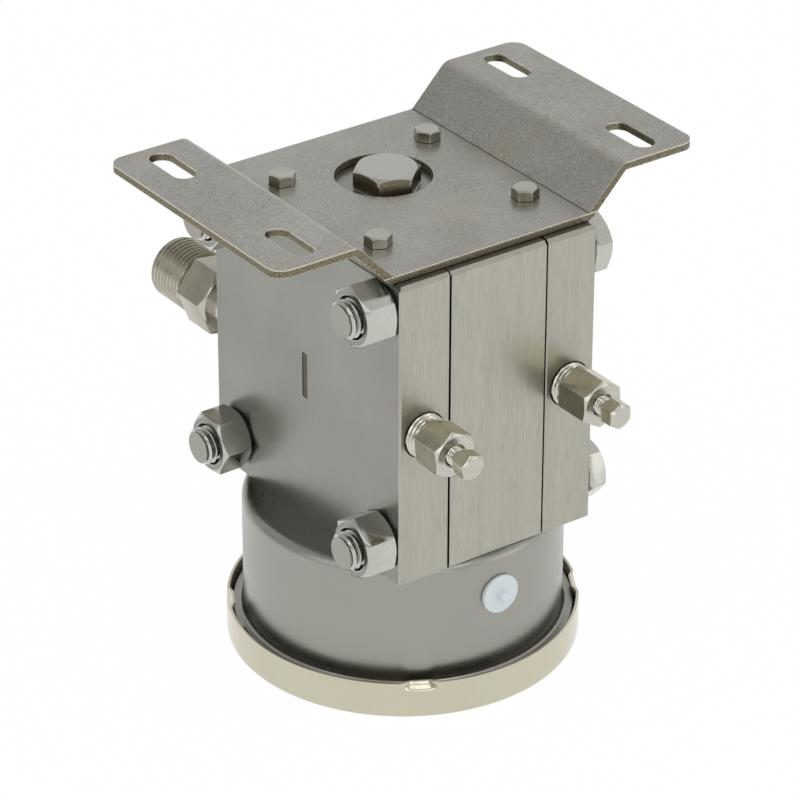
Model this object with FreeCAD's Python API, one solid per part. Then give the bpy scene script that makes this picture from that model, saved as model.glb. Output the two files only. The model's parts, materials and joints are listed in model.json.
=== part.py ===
import FreeCAD, Part
import math
import os

# Differential pressure gauge: a round case with a bayonet bezel, and on its rear a measuring block
# of three plates clamped by through bolts. Millimetres. The gauge lies on its bezel, as it is set
# down: +Z points to the rear, the origin is on the dial axis in the bezel's front plane, -X is the
# low-pressure side, +X the high-pressure side, +Y carries the process connections and -Y the vents.

# Fits
seat_gap = 0.02          # fixed pieces pushed or screwed together, on the radius
run_gap = 0.05           # pieces that turn or slide, on the radius
face_gap = 0.15          # curved faces of moving pieces that lie on each other

# Bezel ring
bezel_rim_gap = 1.1
bezel_h = 12.5
bezel_wall = 1.0
bezel_edge_r = 1.6
lip_w = 8.3
lip_t = 1.2
lug_count = 4
lug_first_deg = 60.0
lug_w = 9.0
lug_depth = 1.7
lug_h = 2.4
lug_ramp = 1.0
bezel_turn_deg = 22.0
notch_gap = 1.2
notch_clear = 0.3

# Window and its gasket
glass_t = 4.0
glass_edge_gap = 0.5
glass_edge = 0.4
gasket_t = 3.2
gasket_w = 4.3
gasket_groove = 0.8

# Case shell
case_r = 50.5
case_wall = 1.0
case_h = 50.5
case_edge_r = 3.0
rim_w = 3.2
rim_t = 1.2
rim_fillet = 1.2
back_hole_r = 9.0
relief_z = 36.3
relief_stem_r = 4.5
relief_stem_l = 5.0
relief_disc_r = 6.4
relief_disc_t = 1.2
relief_nipple_r = 1.5
relief_nipple_l = 2.2

# Measuring block
block_w = 98.0
block_y = 0.7
block_h = 100.0
plate_t = 18.0
centre_t = 34.7
seam_low = 0.5
seam_high = 0.8
top_chamfer = 1.2
side_chamfer = 0.6
seam_chamfer = 0.3
pad_r = 42.0
cavity_r = 30.0
cavity_depth = 3.5
chamber_r = 28.0
chamber_depth = 4.5
rod_bore_r = 14.0
cross_port_r = 2.0
groove_r = 37.0
groove_w = 2.6
groove_depth = 1.6

# Through bolts
tie_r = 6.0
tie_hole_gap = 0.5
tie_half_y = 39.0
tie_low_edge = 12.0
tie_corner_over = 0.6
tie_end = 14.8
tie_end_chamfer = 0.9
tie_af = 18.0
tie_head_h = 6.8
tie_nut_h = 10.5
tie_sink = 0.7
tie_collar_r = 8.4
tie_collar_t = 0.5
tie_nut_deg = {(1, 1): 14.0, (-1, 1): 27.5, (1, -1): 0.8, (-1, -1): 31.3}
tie_head_deg = {(1, 1): 50.0, (-1, 1): 44.0, (1, -1): 10.0, (-1, -1): 12.0}

# Mounting bracket
bracket_t = 2.5
bracket_w = 90.0
bracket_y = 0.35
bracket_base_half = 35.6
bracket_rise = 13.1
bracket_bend_deg = 46.0
bracket_half = 76.3
bracket_bend_r = 0.6
bracket_back_r = 4.7
bracket_corner_r = 5.0
bracket_hole_r = 15.15
bracket_hole_x = 0.9
bracket_hole_y = 11.9
slot_x = 62.1
slot_y = 30.8
slot_w = 7.6
slot_l = 19.8
bracket_screw_x = 27.0
bracket_screw_y = 25.0
bracket_screw_r = 2.5
bracket_screw_hole_gap = 0.25
bracket_screw_l = 12.0
bracket_screw_af = 7.5
bracket_screw_h = 3.5
bracket_screw_deg = {(-1, 1): 44.2, (1, 1): 5.3, (-1, -1): 31.4, (1, -1): 23.3}

# Rear closing plug
plug_x = 1.1
plug_y = 10.4
plug_r = 6.0
plug_l = 12.0
plug_af = 18.6
plug_h = 6.0
plug_deg = 39.3
plug_seal_r = 8.5
plug_seal_t = 1.5
plug_passage_r = 1.5

# Process connections
port_x = 27.0
port_z = 99.6
port_bore_r = 2.5
stub_r = 6.0
stub_l = 11.0
neck_r = 8.0
neck_l = 5.0
union_af = 21.0
union_hex_l = 13.3
union_deg = -8.0
union_thread_r = 10.4
union_thread_l = 17.8
union_undercut_r = 9.3
union_undercut_l = 1.6
union_chamfer = 0.8

# Vent valves
vent_r = 7.0
vent_mouth = 0.45
vent_inside_l = 10.0
vent_neck_l = {-1: 4.9, 1: 3.6}
vent_hex_l = {-1: 10.6, 1: 12.8}
vent_af = 13.7
vent_deg = {-1: 36.2, 1: 28.3}
vent_passage_r = 1.25
vent_seat_l = 6.0
bleed_r = 3.0
bleed_tip_r = 2.2
bleed_tip_l = 1.0
bleed_ball_r = 2.4
bleed_gap = 0.1
bleed_neck_l = 3.9
bleed_head_l = 5.1
bleed_af = 7.6
bleed_deg = {-1: 43.0, 1: 30.0}
bleed_hole_r = 1.0
bleed_hole_y = 3.0

# Dial and pointer
dial_edge_gap = 0.7
dial_t = 0.8
dial_gap = 7.4
dial_hole_r = 3.0
dial_foot_r = 2.0
dial_foot_l = 3.6
dial_foot_x = 10.0
dial_screw_r = 1.0
dial_screw_head_r = 1.9
dial_screw_head_h = 0.8
scale_deg = 270.0
zero_deg = 135.0
pointer_l = 37.0
pointer_tail = 13.0
pointer_w = 3.2
pointer_tip_w = 0.6
pointer_t = 0.5
pointer_hub_r = 3.0
pointer_hub_h = 2.0
pointer_lift = 1.6

# Movement
plate_metal_t = 1.5
movement_gap = 11.5
movement_x0 = -31.0
movement_x1 = 16.0
movement_y0 = -17.0
movement_y1 = 14.0
movement_corner_r = 6.0
pillar_spots = ((12.0, 9.5), (12.0, -12.5), (-26.5, 9.5))
pillar_r = 2.4
pillar_thread_r = 1.0
pillar_thread_l = 3.5
post_foot_r = 4.0
post_foot_t = 1.0
movement_screw_head_r = 1.9
movement_screw_head_h = 1.2
gear_module = 0.4
pinion_teeth = 12
sector_teeth = 110
pressure_angle = 20.0
gear_backlash = 0.10
pinion_face_l = 5.0
sector_t = 1.5
sector_up = 4.5
sector_rim_w = 2.6
sector_spare_deg = 5.0
sector_hub_r = 3.6
arbor_r = 1.2
pivot_r = 0.8
pivot_end = 0.3
axial_play = 0.1
collet_r = 1.5
spring_turns = 4
spring_steps = 24
spring_out_r = 6.4
spring_t = 0.2
spring_h = 1.2
spring_stud_r = 0.8

# Drive from the sensor to the sector
tail_r = 8.0
arm_t = 1.5
arm_w = 4.0
arm_lift = 1.5
arm_pin_r = 0.9
arm_pin_head_r = 1.6
arm_pin_head_h = 0.6
link_t = 1.2
link_w = 2.4
link_eye_r = 2.3
link_gap = 0.5
lever_upper = 23.5
lever_r = 1.6
lever_tip_r = 0.7
lever_tip_play = 0.35
lever_tip_over = 1.2
lever_hub_r = 3.2
lever_hub_w = 5.0
lever_ball_r = 2.2
ball_gap = 0.1
fulcrum_r = 1.5

# Lever seal
housing_r = 11.0
housing_l = 16.0
housing_bore_r = 8.0
housing_roof_t = 2.5
housing_hole_r = 3.2
ear_half_x = 4.5
ear_t = 3.5
ear_gap = 0.4
ear_over = 4.0
ear_bore_r = 10.0
bellows_out_r = 6.6
bellows_in_r = 4.2
bellows_folds = 4
bellows_pitch = 2.4
bellows_t = 0.3
cap_seal_r = 5.0

# Sensor
diaphragm_r = 33.5
diaphragm_t = 0.3
wave_count = 4
wave_h = 0.9
rod_r = 5.0
rod_disc_r = 9.0
rod_disc_t = 1.5
rod_stud_r = 2.0

# Case fastening
case_screw_x = 11.0
case_screw_y = 26.0
case_screw_r = 2.5
case_screw_l = 10.0
case_screw_head_r = 4.2
case_screw_head_h = 3.0
case_seal_r = 14.0
case_seal_w = 2.0
case_seal_t = 1.6

# Places worked out from the sizes above
rim_r = case_r + rim_w
bezel_in_r = rim_r + bezel_rim_gap
bezel_r = bezel_in_r + bezel_wall
lip_r = bezel_r - lip_w
lug_in_r = bezel_in_r - lug_depth
glass_r = bezel_in_r - glass_edge_gap
rim_z = lip_t + glass_t + gasket_t
case_in_r = case_r - case_wall
dial_r = case_in_r - dial_edge_gap
case_floor_z = case_h - case_wall
block_y0 = block_y - block_w / 2
block_y1 = block_y + block_w / 2
block_z1 = case_h + block_h
stack_half = (2 * plate_t + centre_t + seam_low + seam_high) / 2
centre_x0 = -stack_half + plate_t + seam_low
centre_x1 = centre_x0 + centre_t
tie_low_z = case_h + tie_low_edge
tie_high_z = block_z1 - tie_af / math.sqrt(3) + tie_corner_over
sensor_z = (tie_low_z + tie_high_z) / 2
plate_in_x = {-1: -stack_half + plate_t, 1: stack_half - plate_t}
centre_face_x = {-1: centre_x0, 1: centre_x1}
dial_z = lip_t + glass_t + dial_gap
front_plate_z = dial_z + dial_t + dial_foot_l
pillar_z = front_plate_z + plate_metal_t
rear_plate_z = pillar_z + movement_gap
rear_top_z = rear_plate_z + plate_metal_t
sector_swing = scale_deg * pinion_teeth / sector_teeth
centre_distance = gear_module * (pinion_teeth + sector_teeth) / 2
sector_x = -math.sqrt(centre_distance ** 2 - tail_r ** 2)
sector_y = -tail_r
sector_line_deg = math.degrees(math.atan2(-sector_y, -sector_x))
arm_deg = 90.0 + sector_swing / 2
arm_z = rear_top_z + arm_lift
link_z = arm_z + arm_t + link_gap
pivot_z = sensor_z - lever_upper
lower_arm = pivot_z - (link_z + link_t / 2)
lever_half_deg = math.degrees(math.asin(tail_r * math.sin(math.radians(sector_swing / 2)) / lower_arm))
rod_shift = lever_upper * math.sin(math.radians(lever_half_deg))
plug_top_z = block_z1 + plug_h
vent_hex_y = {side: block_y0 - vent_neck_l[side] for side in (-1, 1)}
vent_front_y = {side: vent_hex_y[side] - vent_hex_l[side] for side in (-1, 1)}
seat_y = {side: vent_front_y[side] + vent_seat_l + bleed_neck_l for side in (-1, 1)}
ball_back = math.sqrt(bleed_ball_r ** 2 - vent_passage_r ** 2) + bleed_gap
ball_y = {side: seat_y[side] - ball_back for side in (-1, 1)}

shapes = {}
FLAT = "flat"


def at(x, y, z):
    return FreeCAD.Vector(x, y, z)


AXIS_X = at(1, 0, 0)
AXIS_Y = at(0, 1, 0)
AXIS_Z = at(0, 0, 1)
ORIGIN = at(0, 0, 0)


def polar(r, deg):
    return r * math.cos(math.radians(deg)), r * math.sin(math.radians(deg))


def box(x0, x1, y0, y1, z0, z1):
    return Part.makeBox(x1 - x0, y1 - y0, z1 - z0, at(x0, y0, z0))


def rod(r, start, end):
    return Part.makeCylinder(r, (end - start).Length, start, end - start)


def tube(r_out, r_in, start, end):
    return rod(r_out, start, end).cut(rod(r_in, start, end))


def joined(pieces):
    whole = pieces[0]
    if len(pieces) > 1:
        whole = whole.fuse(pieces[1:]).removeSplitter()
    return whole


def grouped(pieces):
    return Part.makeCompound(pieces)


def closed_wire(corners, place):
    """Wire through corners (u, v), (u, v, r) with an arc of radius r, or (u, v, r, FLAT) bevelled."""
    points = [place(c[0], c[1]) for c in corners]
    spans = []
    for i, corner in enumerate(corners):
        p = points[i]
        if len(corner) < 3:
            spans.append((p, p, p, False))
            continue
        back = (points[i - 1] - p).normalize()
        ahead = (points[(i + 1) % len(points)] - p).normalize()
        half = back.getAngle(ahead) / 2
        reach = corner[2] / math.tan(half)
        middle = p + (back + ahead).normalize() * (corner[2] / math.sin(half) - corner[2])
        spans.append((p + back * reach, middle, p + ahead * reach, FLAT not in corner))
    edges = []
    for i, (start, middle, end, rounded) in enumerate(spans):
        following = spans[(i + 1) % len(spans)][0]
        if rounded:
            edges.append(Part.Arc(start, middle, end).toShape())
        elif (end - start).Length > 1e-6:
            edges.append(Part.LineSegment(start, end).toShape())
        if (following - end).Length > 1e-6:
            edges.append(Part.LineSegment(end, following).toShape())
    return Part.Wire(edges)


def turned(corners, base=ORIGIN, axis=AXIS_Z, deg=360.0, start_deg=0.0):
    """Revolve an outline of (radius, height) corners about an axis through base."""
    face = Part.Face(closed_wire(corners, lambda u, v: at(u, 0, v)))
    solid = face.revolve(ORIGIN, AXIS_Z, deg)
    solid.rotate(ORIGIN, AXIS_Z, start_deg)
    solid.Placement = FreeCAD.Placement(base, FreeCAD.Rotation(AXIS_Z, axis)).multiply(solid.Placement)
    return solid


def prism(corners, z0, z1):
    face = Part.Face(closed_wire(corners, lambda u, v: at(u, v, z0)))
    return face.extrude(at(0, 0, z1 - z0))


def hexagon(af, start, end, corner_deg, chamfer_start=False, chamfer_end=True):
    """Hexagon bar from start to end along a main axis, its ends turned to a 30 degree chamfer."""
    along = end - start
    if abs(along.x) > abs(along.y) + abs(along.z):
        u, v = AXIS_Y, AXIS_Z
    elif abs(along.y) > abs(along.z):
        u, v = AXIS_X, AXIS_Z
    else:
        u, v = AXIS_X, AXIS_Y
    corner_r = af / math.sqrt(3)
    points = []
    for k in range(7):
        a, b = polar(corner_r, corner_deg + 60 * k)
        points.append(start + u * a + v * b)
    bar = Part.Face(Part.makePolygon(points)).extrude(along)
    flat_r = 0.95 * af / 2
    drop = (corner_r - flat_r) * math.tan(math.radians(30))
    wide = corner_r + 0.01
    length = along.Length
    outline = [(0, 0)]
    outline += [(flat_r, 0), (wide, drop)] if chamfer_start else [(wide, 0)]
    outline += [(wide, length - drop), (flat_r, length)] if chamfer_end else [(wide, length)]
    outline += [(0, length)]
    return bar.common(turned(outline, start, along))


def studded(r, start, end, chamfer):
    """Plain shank with a chamfered end, standing for a screw thread."""
    length = (end - start).Length
    outline = [(0, 0), (r, 0), (r, length - chamfer), (r - chamfer, length), (0, length)]
    return turned(outline, start, end - start)


def edges_along(shape, direction, keep):
    found = []
    for edge in shape.Edges:
        if len(edge.Vertexes) < 2:
            continue
        run = edge.Vertexes[1].Point - edge.Vertexes[0].Point
        if run.Length > 1e-6 and run.cross(direction).Length < 1e-6 * run.Length and keep(edge):
            found.append(edge)
    return found


def rounded_slot(cx, cy, width, length, z0, z1):
    """Slot cutter whose long way runs along Y."""
    half = length / 2 - width / 2
    ends = [rod(width / 2, at(cx, cy + s * half, z0), at(cx, cy + s * half, z1)) for s in (-1, 1)]
    middle = box(cx - width / 2, cx + width / 2, cy - half, cy + half, z0, z1)
    return joined([middle] + ends)


def tie_spots():
    heights = {-1: tie_low_z, 1: tie_high_z}
    return [(sy * tie_half_y, heights[sz], (sy, sz)) for sy in (-1, 1) for sz in (-1, 1)]


def cut_tie_holes(body):
    r = tie_r + tie_hole_gap
    return body.cut([rod(r, at(-2 * stack_half, y, z), at(2 * stack_half, y, z)) for y, z, _ in tie_spots()])


def lug_degrees():
    return [lug_first_deg + 360.0 * k / lug_count for k in range(lug_count)]


def lug_block(r_face, r_far, top, widen):
    """Ring sector with a ramped lower face, the form of one pressed lug."""
    low = bezel_h - lug_h
    fall = lug_ramp * (r_far - r_face) / lug_depth
    angle = math.degrees((lug_w + 2 * widen) / bezel_r)
    return turned([(r_face, low), (r_face, top), (r_far, top), (r_far, low - fall)], deg=angle,
                  start_deg=-angle / 2)


def make_bezel():
    ring = turned([(lip_r, 0), (bezel_r, 0, bezel_edge_r), (bezel_r, bezel_h), (bezel_in_r, bezel_h),
                   (bezel_in_r, lip_t), (lip_r, lip_t)])
    bumps, pockets = [], []
    for deg in lug_degrees():
        for group, block in ((bumps, lug_block(lug_in_r, bezel_in_r + bezel_wall / 2, bezel_h, bezel_wall)),
                             (pockets, lug_block(lug_in_r + bezel_wall, bezel_r + 1, bezel_h + 1, 0))):
            block.rotate(ORIGIN, AXIS_Z, deg)
            group.append(block)
    shapes["bezel_ring"] = ring.fuse(bumps).cut(pockets).removeSplitter()


def make_window():
    shapes["window_glass"] = turned([(0, lip_t), (glass_r, lip_t, glass_edge, FLAT),
                                     (glass_r, lip_t + glass_t, glass_edge, FLAT), (0, lip_t + glass_t)])
    gasket_in_r = glass_r - gasket_w
    low, high = lip_t + glass_t, rim_z
    middle = (low + high) / 2
    shapes["window_gasket"] = turned([(gasket_in_r, low), (glass_r, low), (glass_r, middle - gasket_groove),
                                      (glass_r - gasket_groove, middle), (glass_r, middle + gasket_groove),
                                      (glass_r, high), (gasket_in_r, high)])


def make_case():
    rim_top = rim_z + rim_t
    shell = turned([(case_in_r, rim_z), (rim_r, rim_z), (rim_r, rim_top), (case_r, rim_top, rim_fillet),
                    (case_r, case_h, case_edge_r), (0, case_h), (0, case_floor_z),
                    (case_in_r, case_floor_z, case_edge_r - case_wall)])
    notch_deg = math.degrees((lug_w + 2 * bezel_wall + 2 * notch_gap) / rim_r)
    cuts = []
    for deg in lug_degrees():
        notch = turned([(lug_in_r - notch_clear, rim_z - 1), (rim_r + 1, rim_z - 1), (rim_r + 1, rim_top + 1),
                        (lug_in_r - notch_clear, rim_top + 1)], deg=notch_deg, start_deg=-notch_deg / 2)
        notch.rotate(ORIGIN, AXIS_Z, deg + bezel_turn_deg)
        cuts.append(notch)
    cuts.append(rod(relief_stem_r + run_gap, at(0, -case_r - 1, relief_z), at(0, 0, relief_z)))
    cuts.append(rod(back_hole_r, at(0, 0, case_floor_z - 1), at(0, 0, case_h + 1)))
    for x, y in case_screw_spots():
        cuts.append(rod(case_screw_r + seat_gap, at(x, y, case_floor_z - 1), at(x, y, case_h + 1)))
    shapes["case_shell"] = shell.cut(cuts)


def make_relief_plug():
    face_y = -case_r - relief_disc_t
    disc = turned([(0, 0), (relief_disc_r, 0, 0.4), (relief_disc_r, 2 * relief_disc_t), (0, 2 * relief_disc_t)],
                  at(0, face_y, relief_z), AXIS_Y)
    disc = disc.cut(rod(case_r + face_gap, at(0, 0, 0), at(0, 0, case_h)))
    stem = rod(relief_stem_r, at(0, face_y + relief_disc_t / 2, relief_z),
               at(0, -case_r + relief_stem_l, relief_z))
    nipple = turned([(0, 0), (relief_nipple_r, 0, 0.5), (relief_nipple_r, relief_nipple_l + relief_disc_t / 2),
                     (0, relief_nipple_l + relief_disc_t / 2)], at(0, face_y - relief_nipple_l, relief_z), AXIS_Y)
    shapes["relief_plug"] = joined([disc, stem, nipple])


def case_screw_spots():
    return [(sx * case_screw_x, sy * case_screw_y) for sx in (-1, 1) for sy in (-1, 1)]


def make_case_fastening():
    screws = []
    for x, y in case_screw_spots():
        base = at(x, y, case_floor_z - case_screw_head_h)
        length = case_screw_head_h + case_wall + case_screw_l
        screw = turned([(0, 0), (case_screw_head_r, 0, 0.5, FLAT), (case_screw_head_r, case_screw_head_h),
                        (case_screw_r, case_screw_head_h), (case_screw_r, length), (0, length)], base)
        slot = box(x - case_screw_head_r, x + case_screw_head_r, y - 0.6, y + 0.6, base.z - 1, base.z + 1.2)
        screws.append(screw.cut(slot))
    shapes["case_screws"] = grouped(screws)
    shapes["case_seal"] = turned([(case_seal_r - case_seal_w / 2, case_h), (case_seal_r + case_seal_w / 2, case_h),
                                  (case_seal_r + case_seal_w / 2, case_h + case_seal_t, 0.5, FLAT),
                                  (case_seal_r - case_seal_w / 2, case_h + case_seal_t, 0.5, FLAT)])


def chamfered_plate(x0, x1, chamfers):
    """Plate of the block; chamfers lists (size, direction, test of an edge's middle)."""
    body = box(x0, x1, block_y0, block_y1, case_h, block_z1)
    for size, direction, keep in chamfers:
        edges = edges_along(body, direction, lambda edge: keep(edge.CenterOfMass))
        body = body.makeChamfer(size, edges)
    return body


def make_centre_block():
    def is_top(p):
        return abs(p.z - block_z1) < 1e-6

    body = chamfered_plate(centre_x0, centre_x1, [(top_chamfer, AXIS_X, is_top)])
    cuts = []
    for side in (-1, 1):
        face = centre_face_x[side]
        cuts.append(rod(cavity_r, at(face + side, 0, sensor_z), at(face - side * cavity_depth, 0, sensor_z)))
        cuts.append(rod(diaphragm_r + seat_gap, at(face + side, 0, sensor_z),
                        at(face - side * diaphragm_t, 0, sensor_z)))
    cuts.append(rod(rod_bore_r, at(centre_x0 - 1, 0, sensor_z), at(centre_x1 + 1, 0, sensor_z)))
    cuts.append(rod(housing_r + seat_gap, at(0, 0, case_h - 1), at(0, 0, case_h + housing_l)))
    cuts.append(rod(ear_bore_r, at(0, 0, case_h), at(0, 0, sensor_z)))
    cuts.append(turned([(case_seal_r - case_seal_w / 2 - seat_gap, case_h - 1),
                        (case_seal_r + case_seal_w / 2 + seat_gap, case_h - 1),
                        (case_seal_r + case_seal_w / 2 + seat_gap, case_h + case_seal_t),
                        (case_seal_r - case_seal_w / 2 - seat_gap, case_h + case_seal_t)]))
    for x, y in case_screw_spots():
        cuts.append(rod(case_screw_r + seat_gap, at(x, y, case_h - 1), at(x, y, case_h + case_screw_l + 1)))
    cuts.append(rod(plug_seal_r + seat_gap, at(plug_x, plug_y, block_z1 - plug_seal_t),
                    at(plug_x, plug_y, block_z1 + 1)))
    cuts.append(rod(plug_r + seat_gap, at(plug_x, plug_y, block_z1 - plug_l - 1), at(plug_x, plug_y, block_z1)))
    cuts.append(rod(plug_passage_r, at(plug_x, plug_y, sensor_z), at(plug_x, plug_y, block_z1)))
    shapes["centre_block"] = cut_tie_holes(body.cut(cuts))


def make_flange(side, name):
    outer = side * stack_half
    inner = plate_in_x[side]
    seat = centre_face_x[side]
    rules = [(top_chamfer, AXIS_X, lambda p: abs(p.z - block_z1) < 1e-6),
             (top_chamfer, AXIS_Y, lambda p: abs(p.z - block_z1) < 1e-6 and abs(p.x - outer) < 1e-6),
             (side_chamfer, AXIS_Z, lambda p: abs(p.x - outer) < 1e-6),
             (seam_chamfer, AXIS_Z, lambda p: abs(p.x - inner) < 1e-6)]
    body = chamfered_plate(min(inner, outer), max(inner, outer), rules)
    pad = rod(pad_r, at(inner + side, 0, sensor_z), at(seat, 0, sensor_z))
    body = joined([body, pad])
    deep = seat + side * chamber_depth
    x = side * port_x
    cuts = [rod(chamber_r, at(seat - side, 0, sensor_z), at(deep, 0, sensor_z)),
            rod(port_bore_r, at(x, block_y0 - 1, port_z), at(x, block_y1 + 1, port_z)),
            rod(cross_port_r, at(deep - side, 0, port_z), at(x, 0, port_z)),
            rod(stub_r + seat_gap, at(x, block_y1 + 1, port_z), at(x, block_y1 - stub_l, port_z)),
            rod(vent_r + seat_gap, at(x, block_y0 - 1, port_z), at(x, block_y0 + vent_inside_l, port_z)),
            turned([(0, -1), (vent_r + vent_mouth, -1), (vent_r + vent_mouth, 0), (vent_r, vent_mouth),
                    (0, vent_mouth)], at(x, block_y0, port_z), AXIS_Y)]
    groove = turned([(groove_r - groove_w / 2, 0), (groove_r + groove_w / 2, 0),
                     (groove_r + groove_w / 2, groove_depth + 1), (groove_r - groove_w / 2, groove_depth + 1)],
                    at(seat - side, 0, sensor_z), AXIS_X * side)
    cuts.append(groove)
    for sy in (-1, 1):
        spot = (side * bracket_screw_x, bracket_y + sy * bracket_screw_y)
        cuts.append(rod(bracket_screw_r + seat_gap, at(*spot, block_z1 + 1), at(*spot, block_z1 - bracket_screw_l)))
    shapes[name] = cut_tie_holes(body.cut(cuts))


def make_seal_ring(side, name):
    half = groove_w / 2 - seat_gap
    edge = min(0.5, groove_depth / 3)
    shapes[name] = turned([(groove_r - half, 0), (groove_r + half, 0), (groove_r + half, groove_depth, edge, FLAT),
                           (groove_r - half, groove_depth, edge, FLAT)],
                          at(centre_face_x[side], 0, sensor_z), AXIS_X * side)


def make_ties():
    bolts, nuts = [], []
    for y, z, key in tie_spots():
        head_x = stack_half
        end_x = -stack_half - tie_end
        shank = studded(tie_r, at(head_x, y, z), at(end_x, y, z), tie_end_chamfer)
        head = hexagon(tie_af, at(head_x, y, z), at(head_x + tie_head_h, y, z), tie_head_deg[key], True, True)
        bolts.append(joined([head, shank]))
        nut_x = -stack_half - tie_collar_t
        face_x = nut_x - tie_nut_h
        collar = rod(tie_collar_r, at(-stack_half, y, z), at(nut_x, y, z))
        nut = hexagon(tie_af, at(nut_x, y, z), at(face_x, y, z), tie_nut_deg[key], True, True)
        bore_r = tie_r + seat_gap
        bore = turned([(0, -1), (bore_r + tie_sink + 1, -1), (bore_r, tie_sink), (bore_r, tie_end), (0, tie_end)],
                      at(face_x, y, z), AXIS_X)
        nuts.append(joined([collar, nut]).cut(bore))
    shapes["tie_bolts"] = grouped(bolts)
    shapes["tie_nuts"] = grouped(nuts)


def bracket_section():
    """Corners of the folded sheet's section, upper side out and lower side back, with bend radii."""
    bend = math.radians(bracket_bend_deg)
    run = bracket_rise / math.tan(bend)
    shift = bracket_t * math.tan(bend / 2)
    base_z = block_z1 + bracket_t
    wing_z = base_z + bracket_rise
    inner, outer = bracket_bend_r, bracket_back_r
    upper = [(bracket_base_half, base_z, inner), (bracket_base_half + run, wing_z, outer), (bracket_half, wing_z)]
    lower = [(bracket_half, wing_z - bracket_t), (bracket_base_half + run + shift, wing_z - bracket_t, inner),
             (bracket_base_half + shift, base_z - bracket_t, outer)]
    right = upper + lower
    left = [(-c[0],) + tuple(c[1:]) for c in reversed(right)]
    return right + left


def make_bracket():
    y0 = bracket_y - bracket_w / 2
    face = Part.Face(closed_wire(bracket_section(), lambda u, v: at(u, y0, v)))
    sheet = face.extrude(at(0, bracket_w, 0))
    corners = edges_along(sheet, AXIS_Z, lambda edge: abs(abs(edge.CenterOfMass.x) - bracket_half) < 1e-6)
    sheet = sheet.makeFillet(bracket_corner_r, corners)
    low, high = block_z1 - 1, block_z1 + bracket_t + bracket_rise + 1
    cuts = [rod(bracket_hole_r, at(bracket_hole_x, bracket_hole_y, low),
                at(bracket_hole_x, bracket_hole_y, high))]
    for sx in (-1, 1):
        for sy in (-1, 1):
            cuts.append(rounded_slot(sx * slot_x, bracket_y + sy * slot_y, slot_w, slot_l, low, high))
            x, y = sx * bracket_screw_x, bracket_y + sy * bracket_screw_y
            cuts.append(rod(bracket_screw_r + bracket_screw_hole_gap, at(x, y, low), at(x, y, high)))
    shapes["mounting_bracket"] = sheet.cut(cuts)


def make_bracket_screws():
    screws = []
    seat = block_z1 + bracket_t
    for key, deg in bracket_screw_deg.items():
        x, y = key[0] * bracket_screw_x, bracket_y + key[1] * bracket_screw_y
        head = hexagon(bracket_screw_af, at(x, y, seat), at(x, y, seat + bracket_screw_h), deg)
        shank = studded(bracket_screw_r, at(x, y, seat), at(x, y, block_z1 - bracket_screw_l + 0.5), 0.5)
        screws.append(joined([head, shank]))
    shapes["bracket_screws"] = grouped(screws)


def make_closing_plug():
    base = at(plug_x, plug_y, block_z1)
    head = hexagon(plug_af, base, at(plug_x, plug_y, plug_top_z), plug_deg)
    shank = studded(plug_r, base, at(plug_x, plug_y, block_z1 - plug_l), 1.0)
    shapes["closing_plug"] = joined([head, shank])
    seal_base = at(plug_x, plug_y, block_z1 - plug_seal_t)
    shapes["closing_plug_seal"] = tube(plug_seal_r, plug_r + seat_gap, seal_base, base)


def make_process_union(side, name):
    x = side * port_x
    neck_y = block_y1 + neck_l
    hex_y = neck_y + union_hex_l
    end_y = hex_y + union_thread_l
    stub = rod(stub_r, at(x, block_y1 - stub_l, port_z), at(x, block_y1, port_z))
    neck = rod(neck_r, at(x, block_y1, port_z), at(x, neck_y, port_z))
    nut = hexagon(union_af, at(x, neck_y, port_z), at(x, hex_y, port_z), union_deg, True, False)
    thread = turned([(0, 0), (union_undercut_r, 0), (union_undercut_r, union_undercut_l),
                     (union_thread_r, union_undercut_l), (union_thread_r, union_thread_l - union_chamfer),
                     (union_thread_r - union_chamfer, union_thread_l), (0, union_thread_l)],
                    at(x, hex_y, port_z), AXIS_Y)
    bore = rod(port_bore_r, at(x, block_y1 - stub_l - 1, port_z), at(x, end_y + 1, port_z))
    shapes[name] = joined([stub, neck, nut, thread]).cut(bore)


def make_vent_body(side, name):
    x = side * port_x
    hex_y, front_y = vent_hex_y[side], vent_front_y[side]
    shank = rod(vent_r, at(x, block_y0 + vent_inside_l, port_z), at(x, hex_y, port_z))
    nut = hexagon(vent_af, at(x, hex_y, port_z), at(x, front_y, port_z), vent_deg[side])
    body = joined([shank, nut])
    flat_x, flat_z = polar(vent_af, vent_deg[side] - 30)
    hole_y = seat_y[side] - bleed_hole_y
    cuts = [rod(vent_passage_r, at(x, block_y0 + vent_inside_l + 1, port_z), at(x, front_y - 1, port_z)),
            rod(bleed_r + run_gap, at(x, seat_y[side], port_z), at(x, front_y - 1, port_z)),
            rod(bleed_hole_r, at(x, hole_y, port_z), at(x + flat_x, hole_y, port_z + flat_z))]
    shapes[name] = body.cut(cuts)


def make_bleed_screw(side, name):
    x = side * port_x
    tip_y = ball_y[side] - bleed_ball_r - run_gap
    neck_end = vent_front_y[side] - bleed_neck_l
    reach = tip_y - neck_end
    shank = turned([(0, 0), (bleed_r, 0), (bleed_r, reach - bleed_tip_l), (bleed_tip_r, reach), (0, reach)],
                   at(x, neck_end, port_z), AXIS_Y)
    head = hexagon(bleed_af, at(x, neck_end, port_z), at(x, neck_end - bleed_head_l, port_z), bleed_deg[side])
    shapes[name] = joined([shank, head])


def make_seat_ball(side, name):
    shapes[name] = Part.makeSphere(bleed_ball_r, at(side * port_x, ball_y[side], port_z))


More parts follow.
